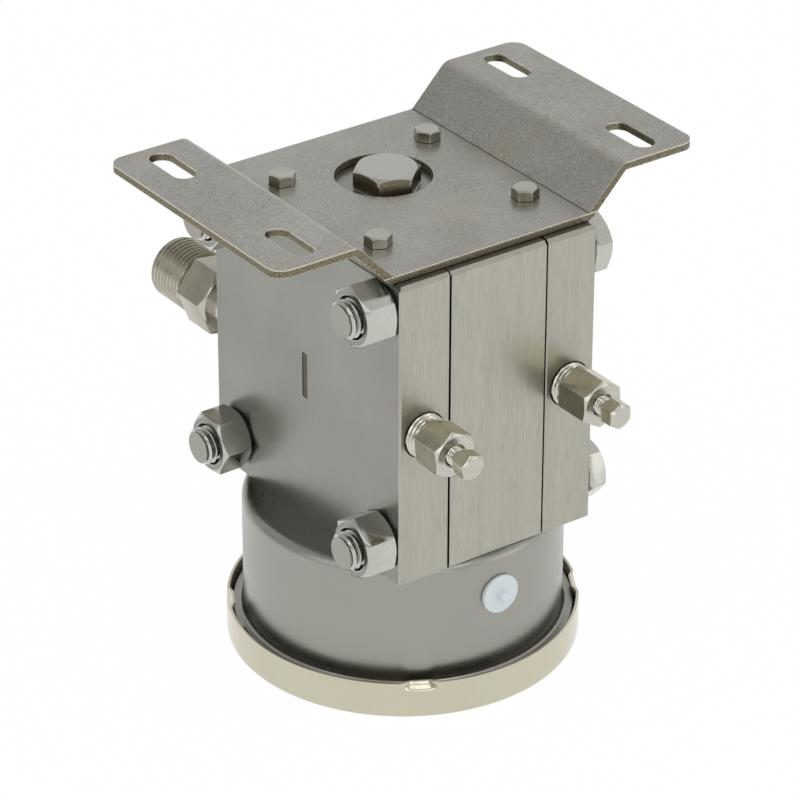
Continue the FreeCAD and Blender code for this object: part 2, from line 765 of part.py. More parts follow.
def make_diaphragm(side, name):
    """Thin corrugated disc: the flat rim and centre are joined by zigzag rings."""
    flat_out = diaphragm_r - (diaphragm_r - cavity_r) - 1.0
    flat_in = rod_disc_r + 0.6
    step = (flat_out - flat_in) / (2 * wave_count)
    waves = [(flat_in + step * k, wave_h * (k % 2)) for k in range(2 * wave_count + 1)]
    near = [(rod_stud_r, 0)] + waves + [(diaphragm_r, 0)]
    far = [(r, h + diaphragm_t) for r, h in reversed(near)]
    shapes[name] = turned(near + far, at(centre_face_x[side], 0, sensor_z), AXIS_X * -side)


def make_centre_rod():
    low = centre_x0 + diaphragm_t
    high = centre_x1 - diaphragm_t
    stud = diaphragm_t + rod_disc_t
    body = turned([(0, -stud), (rod_stud_r - seat_gap, -stud), (rod_stud_r - seat_gap, 0), (rod_disc_r, 0),
                   (rod_disc_r, rod_disc_t), (rod_r, rod_disc_t), (rod_r, high - low - rod_disc_t),
                   (rod_disc_r, high - low - rod_disc_t), (rod_disc_r, high - low),
                   (rod_stud_r - seat_gap, high - low), (rod_stud_r - seat_gap, high - low + stud),
                   (0, high - low + stud)],
                  at(low, 0, sensor_z), AXIS_X)
    socket = rod(lever_ball_r + ball_gap, at(rod_shift, 0, sensor_z - 2 * rod_r),
                 at(rod_shift, 0, sensor_z + lever_ball_r + 1))
    shapes["centre_rod"] = body.cut(socket)
    discs = []
    for side in (-1, 1):
        face = centre_face_x[side]
        discs.append(turned([(rod_stud_r, 0), (rod_disc_r, 0), (rod_disc_r, rod_disc_t, 0.5, FLAT),
                             (rod_stud_r, rod_disc_t)],
                            at(face, 0, sensor_z), AXIS_X * side))
    shapes["rod_clamp_discs"] = grouped(discs)


def make_transfer_lever():
    """Rocking lever drawn upright on its fulcrum, then leaned to its place at no pressure."""
    bottom = pivot_z - lower_arm
    tip_low = bottom - link_t / 2 - lever_tip_over
    shoulder = bottom + link_t / 2 + link_gap
    stem = rod(lever_r, at(0, 0, shoulder), at(0, 0, sensor_z))
    tip = rod(lever_tip_r, at(0, 0, tip_low), at(0, 0, shoulder))
    hub = rod(lever_hub_r, at(0, -lever_hub_w / 2, pivot_z), at(0, lever_hub_w / 2, pivot_z))
    ball = Part.makeSphere(lever_ball_r, at(0, 0, sensor_z))
    lever = joined([stem, tip, hub, ball])
    lever = lever.cut(rod(fulcrum_r + run_gap, at(0, -lever_hub_w, pivot_z), at(0, lever_hub_w, pivot_z)))
    lever.rotate(at(0, 0, pivot_z), AXIS_Y, lever_half_deg)
    shapes["transfer_lever"] = lever


def make_lever_seal():
    top = case_h + housing_l
    roof_low = top - housing_roof_t
    ear_in = lever_hub_w / 2 + ear_gap
    ear_out = ear_in + ear_t
    ears = [box(-ear_half_x, ear_half_x, min(s * ear_in, s * ear_out), max(s * ear_in, s * ear_out), roof_low,
                pivot_z + ear_over) for s in (-1, 1)]
    body = joined([rod(housing_r, at(0, 0, case_h), at(0, 0, top))] + ears)
    cuts = [rod(housing_bore_r, at(0, 0, case_h - 1), at(0, 0, roof_low)),
            rod(housing_hole_r, at(0, 0, roof_low - 1), at(0, 0, top + 1)),
            rod(fulcrum_r + seat_gap, at(0, -2 * ear_out, pivot_z), at(0, 2 * ear_out, pivot_z))]
    shapes["seal_housing"] = body.cut(cuts)
    shapes["lever_fulcrum"] = rod(fulcrum_r, at(0, -ear_out, pivot_z), at(0, ear_out, pivot_z))
    depth = bellows_folds * bellows_pitch
    inside = [(bellows_out_r if k % 2 else bellows_in_r, -depth * k / (2 * bellows_folds))
              for k in range(2 * bellows_folds + 1)]
    skin = bellows_t / math.cos(math.atan2(bellows_pitch / 2, bellows_out_r - bellows_in_r))
    cap_low = -depth - bellows_t
    wall = [(r, h) for r, h in inside] + [(0, -depth), (0, cap_low), (bellows_in_r + skin, cap_low)]
    wall += [(r + skin, h) for r, h in reversed(inside[:-1])]
    bellows = turned(wall, at(0, 0, roof_low))
    lean = (pivot_z - roof_low + depth) * math.tan(math.radians(lever_half_deg))
    passage = rod(lever_r + ball_gap, at(-lean, 0, roof_low - depth - 2), at(-lean, 0, roof_low - depth + 1))
    shapes["seal_bellows"] = bellows.cut(passage)


def tooth_outline(teeth, addendum, dedendum, centre_deg):
    """Points of one involute tooth, from its root over its tip to the other root, in degrees and radius."""
    pitch_r = gear_module * teeth / 2
    base_r = pitch_r * math.cos(math.radians(pressure_angle))
    root_r = pitch_r - dedendum
    tip_r = pitch_r + addendum

    def lean(r):
        roll = math.acos(min(1.0, base_r / r))
        return math.tan(roll) - roll

    half = (math.pi * gear_module / 2 - gear_backlash) / 2 / pitch_r
    start_r = max(base_r, root_r)
    radii = [start_r + (tip_r - start_r) * k / 3 for k in range(4)]
    rising = [(r, half + lean(pitch_r) - lean(r)) for r in radii]
    if root_r < base_r:
        rising.insert(0, (root_r, rising[0][1]))
    turn = math.radians(centre_deg)
    flank = [(r * math.cos(turn - a), r * math.sin(turn - a)) for r, a in rising]
    return flank + [(r * math.cos(turn + a), r * math.sin(turn + a)) for r, a in reversed(rising)]


def make_pinion():
    tooth_z = pillar_z + sector_up + sector_t / 2 - pinion_face_l / 2
    outline = []
    for k in range(pinion_teeth):
        centre = sector_line_deg + 180 + 360.0 * k / pinion_teeth
        outline += tooth_outline(pinion_teeth, gear_module, 1.25 * gear_module, centre)
    gear = prism(outline, tooth_z, tooth_z + pinion_face_l)
    low, high = pillar_z + axial_play, rear_plate_z - axial_play
    collet_z = rear_plate_z - spring_h - 1.6
    arbor = turned([(0, pointer_tip_z()), (pivot_r, pointer_tip_z()), (pivot_r, low), (arbor_r, low),
                    (arbor_r, collet_z), (collet_r, collet_z), (collet_r, high), (pivot_r, high),
                    (pivot_r, rear_top_z - pivot_end), (0, rear_top_z - pivot_end)])
    shapes["pinion"] = joined([gear, arbor])


def pointer_tip_z():
    return dial_z - pointer_lift - pointer_hub_h


def make_sector():
    base_z = pillar_z + sector_up
    pitch_deg = 360.0 / sector_teeth
    first = sector_line_deg - sector_spare_deg
    last = sector_line_deg + sector_swing + sector_spare_deg
    low_k = math.ceil((first - sector_line_deg) / pitch_deg - 0.5)
    high_k = math.floor((last - sector_line_deg) / pitch_deg - 0.5)
    rim = []
    for k in range(low_k, high_k + 1):
        centre = sector_line_deg + (k + 0.5) * pitch_deg
        rim += tooth_outline(sector_teeth, 0.7 * gear_module, 1.35 * gear_module, centre)
    start = math.degrees(math.atan2(rim[0][1], rim[0][0]))
    stop = math.degrees(math.atan2(rim[-1][1], rim[-1][0]))
    blank = prism([(0, 0)] + rim, base_z, base_z + sector_t)
    rim_r_in = gear_module * sector_teeth / 2 - sector_rim_w
    margin = 6.0
    window = turned([(sector_hub_r + 2.4, base_z - 1), (rim_r_in, base_z - 1), (rim_r_in, base_z + sector_t + 1),
                     (sector_hub_r + 2.4, base_z + sector_t + 1)], deg=stop - start - 2 * margin,
                    start_deg=start + margin)
    hub = rod(sector_hub_r, at(0, 0, base_z), at(0, 0, base_z + sector_t))
    gear = joined([blank, hub]).cut([window, rod(arbor_r + seat_gap, at(0, 0, 0), at(0, 0, case_h))])
    gear.translate(at(sector_x, sector_y, 0))
    shapes["sector_gear"] = gear
    top = arm_z + arm_t
    shapes["sector_arbor"] = turned([(0, front_plate_z + pivot_end), (pivot_r, front_plate_z + pivot_end),
                                     (pivot_r, pillar_z + axial_play), (arbor_r, pillar_z + axial_play),
                                     (arbor_r, rear_plate_z - axial_play), (pivot_r, rear_plate_z - axial_play),
                                     (pivot_r, top), (0, top)], at(sector_x, sector_y, 0))


def make_drive_arm():
    arm = joined([box(0, tail_r, -arm_w / 2, arm_w / 2, arm_z, arm_z + arm_t),
                  rod(arm_w / 2, at(tail_r, 0, arm_z), at(tail_r, 0, arm_z + arm_t)),
                  rod(sector_hub_r, at(0, 0, arm_z), at(0, 0, arm_z + arm_t))])
    arm = arm.cut([rod(pivot_r + seat_gap, at(0, 0, arm_z - 1), at(0, 0, arm_z + arm_t + 1)),
                   rod(arm_pin_r + seat_gap, at(tail_r, 0, arm_z - 1), at(tail_r, 0, arm_z + arm_t + 1))])
    pin = joined([rod(arm_pin_head_r, at(tail_r, 0, arm_z - arm_pin_head_h), at(tail_r, 0, arm_z)),
                  rod(arm_pin_r, at(tail_r, 0, arm_z), at(tail_r, 0, link_z + link_t + link_gap))])
    for name, piece in (("drive_arm", arm), ("drive_arm_pin", pin)):
        piece.rotate(ORIGIN, AXIS_Z, arm_deg)
        piece.translate(at(sector_x, sector_y, 0))
        shapes[name] = piece


def make_drive_link():
    dx, dy = polar(tail_r, arm_deg)
    pin_x, pin_y = sector_x + dx, sector_y + dy
    length = -sector_x
    top = link_z + link_t
    bar = box(0, length, -link_w / 2, link_w / 2, link_z, top)
    eyes = [rod(link_eye_r, at(x, 0, link_z), at(x, 0, top)) for x in (0, length)]
    link = joined([bar] + eyes)
    link = link.cut([rod(arm_pin_r + run_gap, at(0, 0, link_z - 1), at(0, 0, top + 1)),
                     rod(lever_tip_r + lever_tip_play, at(length, 0, link_z - 1), at(length, 0, top + 1))])
    link.translate(at(pin_x, pin_y, 0))
    shapes["drive_link"] = link


def movement_outline():
    r = movement_corner_r
    return [(movement_x0, movement_y0, r), (movement_x1, movement_y0, r), (movement_x1, movement_y1, r),
            (movement_x0, movement_y1, r)]


def make_movement_frame():
    front = prism(movement_outline(), front_plate_z, pillar_z)
    rear = prism(movement_outline(), rear_plate_z, rear_top_z)
    low, high = front_plate_z - 1, rear_top_z + 1
    pivots = [rod(pivot_r + run_gap, at(x, y, low), at(x, y, high)) for x, y in ((0, 0), (sector_x, sector_y))]
    threads = [rod(pillar_thread_r + seat_gap, at(x, y, low), at(x, y, high)) for x, y in pillar_spots]
    feet = [rod(dial_screw_r + seat_gap, at(s * dial_foot_x, 0, low), at(s * dial_foot_x, 0, high)) for s in (-1, 1)]
    shapes["movement_front_plate"] = front.cut(pivots + threads + feet)
    stud = rod(spring_stud_r + seat_gap, at(*stud_spot(), low), at(*stud_spot(), high))
    shapes["movement_rear_plate"] = rear.cut(pivots + threads + [stud])
    pillars, posts, screws = [], [], []
    for x, y in pillar_spots:
        pillar = rod(pillar_r, at(x, y, pillar_z), at(x, y, rear_plate_z))
        pillars.append(pillar.cut(rod(pillar_thread_r + seat_gap, at(x, y, pillar_z), at(x, y, rear_plate_z))))
        posts.append(turned([(0, rear_plate_z - pillar_thread_l), (pillar_thread_r, rear_plate_z - pillar_thread_l),
                             (pillar_thread_r, rear_top_z), (pillar_r, rear_top_z),
                             (pillar_r, case_floor_z - post_foot_t), (post_foot_r, case_floor_z - post_foot_t),
                             (post_foot_r, case_floor_z), (0, case_floor_z)], at(x, y, 0)))
        head_z = front_plate_z - movement_screw_head_h
        screws.append(turned([(0, head_z), (movement_screw_head_r, head_z, 0.4, FLAT),
                              (movement_screw_head_r, front_plate_z), (pillar_thread_r, front_plate_z),
                              (pillar_thread_r, pillar_z + pillar_thread_l), (0, pillar_z + pillar_thread_l)],
                             at(x, y, 0)))
    shapes["movement_pillars"] = grouped(pillars)
    shapes["movement_posts"] = grouped(posts)
    shapes["movement_screws"] = grouped(screws)


def stud_spot():
    return spring_out_r + spring_stud_r + spring_t, 0.0


def make_hairspring():
    """Flat spiral from the pinion's collet out to a stud on the rear plate."""
    z0 = rear_plate_z - spring_h - 1.2
    in_r = collet_r + ball_gap
    grow = (spring_out_r - in_r) / spring_turns
    steps = spring_steps * spring_turns
    inner, outer = [], []
    for k in range(steps + 1):
        deg = 360.0 * k / spring_steps
        inner.append(polar(in_r + grow * deg / 360.0, deg))
        outer.append(polar(in_r + grow * deg / 360.0 + spring_t, deg))
    shapes["hairspring"] = prism(inner + outer[::-1], z0, z0 + spring_h)
    shapes["hairspring_stud"] = rod(spring_stud_r, at(*stud_spot(), z0 - 0.4), at(*stud_spot(), rear_top_z))


def make_dial():
    dial = tube(dial_r, dial_hole_r, at(0, 0, dial_z), at(0, 0, dial_z + dial_t))
    screws, feet = [], []
    for s in (-1, 1):
        x = s * dial_foot_x
        head_z = dial_z - dial_screw_head_h
        end_z = pillar_z
        dial = dial.cut(rod(dial_screw_r + seat_gap, at(x, 0, head_z), at(x, 0, end_z)))
        screws.append(turned([(0, head_z), (dial_screw_head_r, head_z, 0.3, FLAT), (dial_screw_head_r, dial_z),
                              (dial_screw_r, dial_z), (dial_screw_r, end_z), (0, end_z)], at(x, 0, 0)))
        feet.append(tube(dial_foot_r, dial_screw_r + seat_gap, at(x, 0, dial_z + dial_t), at(x, 0, front_plate_z)))
    shapes["dial_plate"] = dial
    shapes["dial_screws"] = grouped(screws)
    shapes["dial_feet"] = grouped(feet)


def make_pointer():
    z = dial_z - pointer_lift - pointer_t
    half, tip = pointer_w / 2, pointer_tip_w / 2
    blade = prism([(0, -half), (pointer_l - 2.0, -tip), (pointer_l, 0), (pointer_l - 2.0, tip), (0, half),
                   (-pointer_tail, half), (-pointer_tail, -half)], z, z + pointer_t)
    disc = rod(pointer_hub_r, at(0, 0, z), at(0, 0, z + pointer_t))
    bore = rod(pivot_r + seat_gap, at(0, 0, z - 1), at(0, 0, z + pointer_t + 1))
    blade = joined([blade, disc]).cut(bore)
    blade.rotate(ORIGIN, AXIS_Z, zero_deg)
    shapes["pointer"] = blade
    low = z - pointer_hub_h + pointer_t
    shapes["pointer_hub"] = turned([(pivot_r + seat_gap, low), (pointer_hub_r, low, 0.5, FLAT), (pointer_hub_r, z),
                                    (pivot_r + seat_gap, z)])


def write_steps():
    os.makedirs("parts", exist_ok=True)
    for name, shape in shapes.items():
        shape.exportStep("parts/" + name + ".step")


def build():
    make_bezel()
    make_window()
    make_case()
    make_relief_plug()
    make_case_fastening()
    make_centre_block()
    for side, name in ((-1, "low"), (1, "high")):
        make_flange(side, name + "_flange")
        make_seal_ring(side, name + "_seal_ring")
        make_diaphragm(side, name + "_diaphragm")
        make_process_union(side, name + "_process_union")
        make_vent_body(side, name + "_vent_body")
        make_bleed_screw(side, name + "_bleed_screw")
        make_seat_ball(side, name + "_seat_ball")
    make_ties()
    make_bracket()
    make_bracket_screws()
    make_closing_plug()
    make_centre_rod()
    make_transfer_lever()
    make_lever_seal()
    make_movement_frame()
    make_pinion()
    make_hairspring()
    make_sector()
    make_drive_arm()
    make_drive_link()
    make_dial()
    make_pointer()
    write_steps()


build()
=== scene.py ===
import json
import math

import bmesh
import bpy
from mathutils import Matrix, Vector


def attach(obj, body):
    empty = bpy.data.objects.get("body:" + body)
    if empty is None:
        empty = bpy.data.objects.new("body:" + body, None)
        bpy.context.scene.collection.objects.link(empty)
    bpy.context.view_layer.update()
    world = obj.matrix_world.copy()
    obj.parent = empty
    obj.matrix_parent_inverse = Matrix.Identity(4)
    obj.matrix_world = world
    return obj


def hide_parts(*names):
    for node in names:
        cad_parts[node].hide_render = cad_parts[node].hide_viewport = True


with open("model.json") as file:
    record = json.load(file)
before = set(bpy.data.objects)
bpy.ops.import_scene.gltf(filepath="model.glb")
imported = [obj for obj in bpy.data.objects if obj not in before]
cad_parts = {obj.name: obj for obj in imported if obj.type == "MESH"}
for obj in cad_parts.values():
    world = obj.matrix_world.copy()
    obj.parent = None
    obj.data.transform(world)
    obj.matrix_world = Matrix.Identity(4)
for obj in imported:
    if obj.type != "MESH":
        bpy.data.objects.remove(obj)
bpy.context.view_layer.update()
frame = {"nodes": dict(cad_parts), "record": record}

# Differential pressure gauge lying on its bezel. Sizes are in millimetres and follow the CAD part.
# AF is the width across the flats of a hexagon, and DEG the angle of one of its corners.
MM = 0.001

# Measuring block and its ports
STACK_HALF = 36.0
BLOCK_Y0 = -48.3
BLOCK_Y1 = 49.7
BLOCK_TOP = 150.5
PORT_X = 27.0
PORT_Z = 99.6

# Through bolts; their tables are keyed by the signs of Y and Z
TIE_AF = 18.0
TIE_Y = 39.0
TIE_CORNER_OVER = 0.6
TIE_Z = {-1: 62.5, 1: BLOCK_TOP - TIE_AF / math.sqrt(3) + TIE_CORNER_OVER}
TIE_NUT_DEG = {(1, 1): 14.0, (-1, 1): 27.5, (1, -1): 0.8, (-1, -1): 31.3}
TIE_HEAD_DEG = {(1, 1): 50.0, (-1, 1): 44.0, (1, -1): 10.0, (-1, -1): 12.0}
BOLT_R = 6.0
BOLT_PITCH = 1.75
BOLT_END = 14.8
BOLT_CHAMFER = 0.9
HEAD = 6.8
NUT_FACE = 11.0
COLLAR = 0.5
COLLAR_R = 8.4

# Bracket sheet, its screws (keyed by the signs of X and Y) and the plug in its hole
BRACKET_T = 2.5
# Heights of the painted shadow line at the foot of the bracket's cut edges and of the painted highlights along their
# top edges; the fold place below also places a painted shade line
FOOT_SHADE_Z = (150.62, 150.92)
EDGE_HIGHLIGHT_Z = (152.82, 165.90)
FOLD_X = 35.60
FOLD_Z = 153.1
SCREW_AF = 7.5
SCREW_X = 27.0
SCREW_MID_Y = 0.35
SCREW_Y = 25.0
SCREW_DEG = {(-1, 1): 44.2, (1, 1): 5.3, (-1, -1): 31.4, (1, -1): 23.3}
PLUG = (1.1, 10.4, BLOCK_TOP)
PLUG_AF = 18.6
PLUG_H = 6.0
PLUG_DEG = 39.3

# Unions. The photo's thread counts to a pitch of 1.8 to 2.0 mm; 1.81 is the table value of G 1/2.
UNION_AF = 21.0
UNION_DEG = -8.0
UNION_NECK = 5.0
UNION_HEX = 13.3
UNION_THREAD = 17.8
UNION_THREAD_R = 10.4
UNION_PITCH = 1.81
UNION_UNDERCUT = 1.6
UNION_BORE = 2.5

# Vents and bleed screws, keyed by the side: -1 low, 1 high
VENT_AF = 13.7
VENT_DEG = {-1: 36.2, 1: 28.3}
VENT_NECK = {-1: 4.9, 1: 3.6}
VENT_HEX = {-1: 10.6, 1: 12.8}
VENT_R = 7.0
BLEED_AF = 7.6
BLEED_DEG = {-1: 43.0, 1: 30.0}
BLEED_NECK = 3.9
BLEED_HEAD = 5.1

# Dial, its scale in degrees, and the two marks as (Y, Z) outlines
DIAL_Z = 12.6
SCALE_START = 135.0
SCALE_SWEEP = 270.0
MINUS = [(-0.3, 92.8), (2.4, 92.8), (2.4, 108.0), (-0.3, 108.0)]
PLUS = [(-0.3, 92.8), (2.4, 92.8), (2.4, 99.05), (8.65, 99.05), (8.65, 101.75), (2.4, 101.75),
        (2.4, 108.0), (-0.3, 108.0), (-0.3, 101.75), (-6.55, 101.75), (-6.55, 99.05), (-0.3, 99.05)]


def linear(c):
    """A display level from 0 to 255 as linear light."""
    c = c / 255.0
    return c / 12.92 if c <= 0.04045 else ((c + 0.055) / 1.055) ** 2.4


def colour(r, g, b):
    return (linear(r), linear(g), linear(b), 1.0)


# Materials


class Nodes:
    """Short calls for building one node tree."""

    def __init__(self, tree):
        self.tree = tree

    def node(self, kind, **settings):
        made = self.tree.nodes.new("ShaderNode" + kind)
        for key, value in settings.items():
            setattr(made, key, value)
        return made

    def feed(self, socket, value):
        if hasattr(value, "is_output"):
            self.tree.links.new(value, socket)
        else:
            socket.default_value = value

    def math(self, operation, a, b=0.0, c=0.0):
        made = self.node("Math", operation=operation)
        for socket, value in zip(made.inputs, (a, b, c)):
            self.feed(socket, value)
        return made.outputs[0]

    def remap(self, value, low, high, to_low=0.0, to_high=1.0, interpolation="LINEAR"):
        made = self.node("MapRange", interpolation_type=interpolation)
        made.inputs["From Min"].default_value = low
        made.inputs["From Max"].default_value = high
        made.inputs["To Min"].default_value = to_low
        made.inputs["To Max"].default_value = to_high
        self.feed(made.inputs["Value"], value)
        return made.outputs[0]

    def between(self, factor, a, b):
        """A number that goes from a to b."""
        made = self.node("Mix", data_type="FLOAT")
        for index, value in ((0, factor), (2, a), (3, b)):
            self.feed(made.inputs[index], value)
        return made.outputs[0]

    def mix_shader(self, factor, a, b):
        made = self.node("MixShader")
        for socket, value in zip(made.inputs, (factor, a, b)):
            self.feed(socket, value)
        return made.outputs[0]

    def surface(self, kind, tone=None):
        """Output of a shader node, with its colour set if one is given."""
        made = self.node(kind)
        if tone:
            made.inputs["Color"].default_value = tone
        return made.outputs[0]


class Shader(Nodes):
    """Builder for one node material on a Principled BSDF."""

    def __init__(self, name):
        self.material = bpy.data.materials.new(name)
        self.material.use_nodes = True
        super().__init__(self.material.node_tree)
        self.bsdf = self.tree.nodes["Principled BSDF"]
        self.coords = self.tree.nodes.new("ShaderNodeTexCoord").outputs["Object"]

    def noise(self, scale, detail=4.0, roughness=0.55, stretch=(1, 1, 1), offset=(0, 0, 0)):
        mapping = self.node("Mapping")
        self.feed(mapping.inputs["Vector"], self.coords)
        mapping.inputs["Scale"].default_value = stretch
        mapping.inputs["Location"].default_value = offset
        made = self.node("TexNoise")
        self.feed(made.inputs["Vector"], mapping.outputs[0])
        made.inputs["Scale"].default_value = scale
        made.inputs["Detail"].default_value = detail
        made.inputs["Roughness"].default_value = roughness
        return made.outputs["Fac"]

    def mix(self, factor, a, b, blend="MIX"):
        made = self.node("Mix", data_type="RGBA", blend_type=blend)
        self.feed(made.inputs[0], factor)
        self.feed(made.inputs[6], a)
        self.feed(made.inputs[7], b)
        return made.outputs[2]

    def normal_part(self, axis):
        """Size of the surface normal's part along one axis of the object, 0 to 1."""
        geometry = self.node("NewGeometry")
        split = self.node("SeparateXYZ")
        self.feed(split.inputs[0], geometry.outputs["True Normal"])
        return self.math("ABSOLUTE", split.outputs[axis])

    def highlight_rim(self, radius):
        """1 on the corners of the shape, 0 away from them; the mask of a painted highlight."""
        soft = self.node("Bevel", samples=4)
        soft.inputs["Radius"].default_value = radius
        geometry = self.node("NewGeometry")
        dot = self.node("VectorMath", operation="DOT_PRODUCT")
        self.feed(dot.inputs[0], soft.outputs[0])
        self.feed(dot.inputs[1], geometry.outputs["True Normal"])
        return self.remap(self.math("ABSOLUTE", dot.outputs["Value"]), 0.99, 0.86)

    def bump(self, height, strength, distance):
        made = self.node("Bump")
        made.inputs["Strength"].default_value = strength
        made.inputs["Distance"].default_value = distance
        self.feed(made.inputs["Height"], height)
        return made.outputs[0]

    def finish(self, base, roughness, metallic=1.0, normal=None):
        self.feed(self.bsdf.inputs["Base Color"], base)
        self.feed(self.bsdf.inputs["Roughness"], roughness)
        self.bsdf.inputs["Metallic"].default_value = metallic
        if normal is not None:
            self.feed(self.bsdf.inputs["Normal"], normal)
        return self.material


def spread(tone, share):
    """Darker and lighter version of a tone."""
    base = colour(*tone)
    dark = tuple(c * (1 - share) for c in base[:3]) + (1.0,)
    light = tuple(min(1.0, c * (1 + share)) for c in base[:3]) + (1.0,)
    return dark, light


def satin_steel(name, tone, shade=0.10, rough=0.32, grain=2600.0, bump=0.10, warm=0.0):
    """Steel with fine grain, soft cloudy shading and small changes in gloss."""
    s = Shader(name)
    fine = s.noise(grain, 2.0, 0.5)
    cloud = s.noise(38.0, 3.0, 0.5)
    dark, light = spread(tone, shade)
    mixed = s.math("ADD", s.math("MULTIPLY", fine, 0.5), s.math("MULTIPLY", cloud, 0.5))
    tint = s.mix(s.remap(mixed, 0.38, 0.62), dark, light)
    if warm:
        stain = s.remap(s.noise(55.0, 4.0, 0.6, offset=(0.3, 0.1, 0.7)), 0.52, 0.72, 0.0, warm)
        tint = s.mix(stain, tint, s.mix(1.0, tint, (1.0, 0.93, 0.80, 1.0), "MULTIPLY"))
    gloss = s.remap(s.math("ADD", fine, cloud), 0.8, 1.2, rough - 0.04, rough + 0.06)
    return s.finish(tint, gloss, normal=s.bump(fine, bump, 0.00001))


def block_steel():
    """Milled bar: brush lines along its height on the narrow faces, smooth satin on the wide ones; the narrow faces are
    also painted a lighter tone than the wide ones, which is painted light.
    """
    s = Shader("block_bar")
    narrow = s.remap(s.normal_part(1), 0.45, 0.60)
    lines = s.noise(1.0, 3.0, 0.6, stretch=(4200.0, 4200.0, 110.0))
    wide_lines = s.noise(1.0, 3.0, 0.5, stretch=(300.0, 300.0, 16.0))
    cloud = s.noise(26.0, 3.0, 0.5)
    fine = s.noise(2300.0, 2.0, 0.5)
    streak = s.remap(s.math("ADD", s.math("MULTIPLY", lines, 0.78), s.math("MULTIPLY", wide_lines, 0.22)), 0.34, 0.66)
    # painted light: the narrow faces get a lighter tone than the wide ones, on top of their brush lines
    brushed_lit_tone = s.mix(streak, colour(162, 160, 148), colour(183, 181, 169))
    satin = s.mix(s.remap(s.math("ADD", s.math("MULTIPLY", fine, 0.35), s.math("MULTIPLY", cloud, 0.65)), 0.36, 0.64),
                  colour(140, 140, 133), colour(151, 151, 144))
    tint = s.mix(narrow, satin, brushed_lit_tone)
    pits = s.node("TexVoronoi", feature="F1")
    s.feed(pits.inputs["Vector"], s.coords)
    pits.inputs["Scale"].default_value = 210.0
    pit = s.math("MULTIPLY", s.remap(pits.outputs["Distance"], 0.03, 0.055, 1.0, 0.0),
                 s.remap(s.noise(90.0, 2.0, 0.5, offset=(3, 1, 2)), 0.58, 0.62))
    tint = s.mix(s.math("MULTIPLY", pit, 0.55), tint, colour(95, 90, 78))
    rough = s.math("ADD", s.remap(streak, 0.0, 1.0, 0.32, 0.27), s.math("MULTIPLY", narrow, 0.04))
    height = s.math("ADD", s.math("MULTIPLY", lines, narrow), s.math("MULTIPLY", fine, 0.2))
    height = s.math("SUBTRACT", height, s.math("MULTIPLY", pit, 2.0))
    return s.finish(tint, rough, normal=s.bump(height, 0.25, 0.00001))


def bracket_steel():
    """Pickled sheet: mottled grain with faint warm stains and rough sheared edges, with a painted highlight on its
    corners and along the top edges of its cut faces, a painted shadow line at the foot of the cut faces and a painted
    shade line along the inner folds.
    """
    s = Shader("bracket_sheet")
    grain = s.noise(1700.0, 3.0, 0.75)
    speck = s.noise(900.0, 3.0, 0.7, offset=(1, 2, 3))
    cloud = s.noise(34.0, 4.0, 0.6)
    warm = s.remap(s.noise(46.0, 4.0, 0.65, offset=(4.1, 2.2, 0.4)), 0.50, 0.70, 0.0, 0.55)
    mixed = s.math("ADD", s.math("ADD", s.math("MULTIPLY", grain, 0.58), s.math("MULTIPLY", speck, 0.20)),
                   s.math("MULTIPLY", cloud, 0.22))
    face = s.mix(s.remap(mixed, 0.42, 0.58), colour(146, 145, 137), colour(181, 180, 173))
    face = s.mix(warm, face, s.mix(s.remap(mixed, 0.38, 0.62), colour(148, 141, 124), colour(184, 177, 160)))
    cut = s.remap(s.normal_part(2), 0.35, 0.15)
    rough_grain = s.noise(1900.0, 3.0, 0.75, offset=(2, 5, 1))
    edge = s.mix(s.remap(rough_grain, 0.36, 0.64), colour(84, 78, 62), colour(148, 141, 119))
    tint = s.mix(cut, face, edge)
    # painted highlight: a light line along every corner of the sheet
    tint = s.mix(s.math("MULTIPLY", s.highlight_rim(0.00045), s.remap(rough_grain, 0.3, 0.6, 0.35, 1.0)), tint,
                 colour(216, 212, 198))
    place = s.node("SeparateXYZ")
    s.feed(place.inputs[0], s.coords)
    height_at = place.outputs[2]
    # painted shadow: a near-black line at the foot of the cut edges, where the sheet sits on the block
    foot_shade = s.math("MULTIPLY", cut, s.remap(height_at, FOOT_SHADE_Z[0] * MM, FOOT_SHADE_Z[1] * MM, 1.0, 0.0))
    tint = s.mix(foot_shade, tint, colour(38, 34, 26))
    # painted highlight: a light dotted line along the top edges of the cut faces
    edge_highlight = s.math("ADD", s.math("COMPARE", height_at, EDGE_HIGHLIGHT_Z[0] * MM, 0.0002),
                  s.math("COMPARE", height_at, EDGE_HIGHLIGHT_Z[1] * MM, 0.0002))
    # painted shade: a dark line along the inner folds of the base
    fold_shade = s.math("MULTIPLY", s.math("COMPARE", s.math("ABSOLUTE", place.outputs[0]), FOLD_X * MM, 0.00022),
                  s.math("COMPARE", height_at, FOLD_Z * MM, 0.0004))
    tint = s.mix(s.math("MULTIPLY", fold_shade, 0.75), tint, colour(70, 66, 56))
    edge_highlight = s.math("MULTIPLY", s.math("MULTIPLY", edge_highlight, cut), s.remap(rough_grain, 0.3, 0.55, 0.3, 1.0))
    tint = s.mix(edge_highlight, tint, colour(214, 210, 196))
    gloss = s.math("ADD", s.remap(mixed, 0.38, 0.62, 0.26, 0.36), s.math("MULTIPLY", cut, 0.12))
    height = s.math("ADD", mixed, s.math("MULTIPLY", s.math("MULTIPLY", rough_grain, cut), 2.0))
    return s.finish(tint, gloss, normal=s.bump(height, 0.2, 0.00002))


